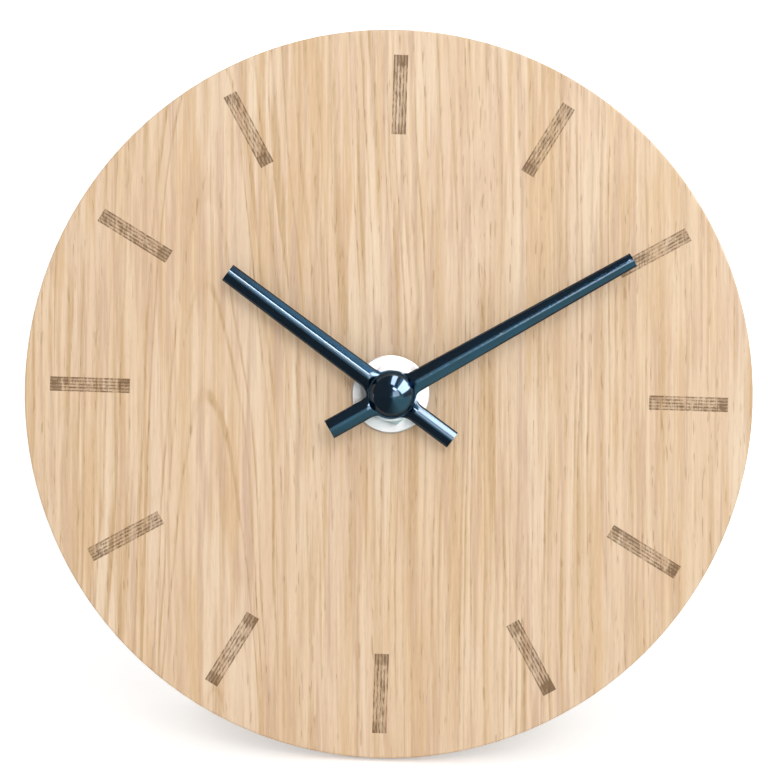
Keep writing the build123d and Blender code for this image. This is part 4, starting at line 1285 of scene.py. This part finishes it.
@dataclass
class Studio:
    """Floor, white surroundings, lamps and the camera of the photograph.

    Lengths are in metres, but the aim on the dial is in millimetres, as is the sensor.
    """

    sensor: float = 36.0
    distance: float = 0.8
    side_angle: float = -2.4
    rise_angle: float = 0.5
    roll: float = 1.85
    frame_width: float = 0.16046
    aim_across: float = -0.07
    aim_up: float = 0.88
    floor_size: float = 12.0
    floor_colour: Shade = (0.92, 0.92, 0.92, 1.0)
    floor_lift: float = 0.4
    cloth_size: Pair = (11.9, 5.94)
    cloth_height: float = 0.0002
    cloth_left: Shade = (0.1, 0.1, 0.1, 1.0)
    cloth_right: Shade = (0.45, 0.8, 0.8, 1.0)
    cloth_change: Pair = (-0.03, 0.07)
    soft_light: Pair = (0.62, 0.1)
    room_dark: float = 0.12
    room_back: float = 0.85
    room_side: float = 0.3

    def build(self) -> None:
        """Set up everything round the clock.

        A lamp has its name, degrees off the dial's normal, clock angle, distance, width, height and
        glow, then what it acts on, its shift sideways and its colour where they differ.
        """
        self._floor()
        self._cloth()
        self._world()
        self._camera()
        lamps = (
            Lamp("key", 19, 20, 1.6, 0.74, 0.74, 3.7, Reach.SHADE),
            Lamp("white_card", 19, 72, 1.6, 0.74, 0.74, 3.2, Reach.GLOSS, 0.0, (1.0, 0.94, 0.92)),
            Lamp("front_card", 8, 110, 1.0, 0.46, 0.46, 0.8, Reach.GLOSS, 0.0, (0.6, 0.95, 1.0)),
            Lamp("side_card", 38, 97, 0.9, 0.42, 0.46, 0.6, Reach.GLOSS, 0.0, (0.5, 0.9, 0.85)),
            Lamp("window", 68, 34.9, 0.35, 0.245, 0.48, 9.5, Reach.GLOSS, -0.1375),
            Lamp("window_end", 70, 34.9, 0.35, 0.13, 0.40, 8.0, Reach.GLOSS, 0.18),
            Lamp("strip", 27, 34.9, 0.35, 0.105, 0.05, 15.0, Reach.GLOSS, 0.0375),
            Lamp("upper_card", 72, 34.9, 0.36, 0.05, 0.34, 0.9, Reach.GLOSS, 0.02, (0.3, 0.75, 1.0)),
            Lamp("back", 150, 20, 1.2, 0.9, 0.7, 1.0),
        )
        for lamp in lamps:
            lamp.build()
        bpy.context.scene.view_settings.view_transform = "Standard"
        bpy.context.scene.cycles.caustics_reflective = False

    def _sheet(
        self,
        name: str,
        stuff: str,
        size: Sequence[float],
        place: Sequence[float],
    ) -> tuple[bpy.types.Object, Bench]:
        """Lay a level sheet.

        Args:
            name: The sheet's name.
            stuff: The name of its material.
            size: Its width and depth, in metres.
            place: Its middle.

        Returns:
            The sheet, and the bench of its material.
        """
        mesh = bmesh.new()
        matrix = Matrix.Translation(place) @ Matrix.Diagonal((*size, 1, 1))
        bmesh.ops.create_grid(mesh, x_segments=1, y_segments=1, size=0.5, matrix=matrix)
        sheet = shaped(name, mesh)
        sheet.data.materials.append(bpy.data.materials.new(stuff))
        return sheet, Bench(sheet.data.materials[0])

    def _floor(self) -> None:
        """Pale floor under the clock, lifted to white for the camera but for the shadow on it."""
        floor, bench = self._sheet("floor", "floor_paper", (self.floor_size,) * 2, (0, 0, 0))
        plain = bench.tone("ShaderNodeBsdfDiffuse", None, {"Color": self.floor_colour})
        camera, glossy, through = bench.rays()
        strength = camera.at_least(glossy).at_least(through) * self.floor_lift
        lift = bench.tone("ShaderNodeEmission", None, {"Color": (1, 1, 1, 1), "Strength": strength})
        both = bench.tone("ShaderNodeAddShader", None, {0: plain, 1: lift})
        bench.node("ShaderNodeOutputMaterial", None, {"Surface": both})

    def _cloth(self) -> None:
        """Cloth before the clock that gloss alone sees: dark at the left, teal at the right."""
        place = (0, -self.cloth_size[1] / 2, self.cloth_height)
        cloth, bench = self._sheet("cloth", "cloth_weave", self.cloth_size, place)
        across, _, _ = bench.parts(bench.tone("ShaderNodeTexCoord", None, None, "Object"))
        colour = bench.mixed(across.step(*self.cloth_change), self.cloth_left, self.cloth_right)
        glow = bench.tone("ShaderNodeEmission", None, {"Color": colour, "Strength": 1.0})
        bench.node("ShaderNodeOutputMaterial", None, {"Surface": glow})
        cloth.visible_camera = False
        cloth.visible_diffuse = False
        cloth.visible_shadow = False

    def _world(self) -> None:
        """White to the camera, a soft grey as light, and for gloss white behind and dark in front."""
        world = bpy.data.worlds.new("studio")
        bpy.context.scene.world = world
        bench = Bench(world)
        across, back, rise = bench.parts(bench.tone("ShaderNodeTexCoord", None, None, "Generated"))
        camera, glossy, through = bench.rays()
        beside = (across * 0.6 + rise * 0.4).step(0.2, 1.0)
        room = back.step(0.3, 0.6) * self.room_back + self.room_dark + beside * self.room_side
        soft = self.soft_light[0] + rise.step(-0.2, 1.0) * self.soft_light[1]
        strength = soft * (1 - glossy) + room * glossy
        strength = strength.at_least(camera).at_least(through)
        light = bench.tone("ShaderNodeBackground", None, {"Color": (1, 1, 1, 1), "Strength": strength})
        bench.node("ShaderNodeOutputWorld", None, {"Surface": light})

    def _camera(self) -> None:
        """Camera at the photograph's angle, a little to the left of the dial's normal."""
        data = bpy.data.cameras.new("photo_view")
        data.sensor_width = self.sensor
        data.lens = data.sensor_width * self.distance / self.frame_width
        camera = placed("photo_view", data)
        front = dial.height("dial_disc")[1] * MM
        aim = dial.middle + dial.out * front
        aim += dial.across * self.aim_across * MM + dial.up * self.aim_up * MM
        side, rise, roll = radians(self.side_angle), radians(self.rise_angle), radians(self.roll)
        away = (dial.out + dial.across * sin(side) + dial.up * sin(rise)).normalized()
        top = dial.up * cos(roll) - dial.across * sin(roll)
        right = top.cross(away).normalized()
        top = away.cross(right)
        turned = Matrix((right, top, away)).transposed().to_4x4()
        camera.matrix_world = Matrix.Translation(aim + away * self.distance) @ turned
        bpy.context.scene.camera = camera


def main() -> None:
    """Build the studio, dress the frame and add the fine shapes."""
    logging.basicConfig(level=logging.INFO, format="%(name)s: %(message)s")
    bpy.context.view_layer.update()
    Studio().build()
    kit = Kit()
    kit.dress_nodes()
    for piece in (Battery(), Coil(), CoverSigns(), Wiring()):
        piece.build(kit)


if __name__ == "__main__":
    main()
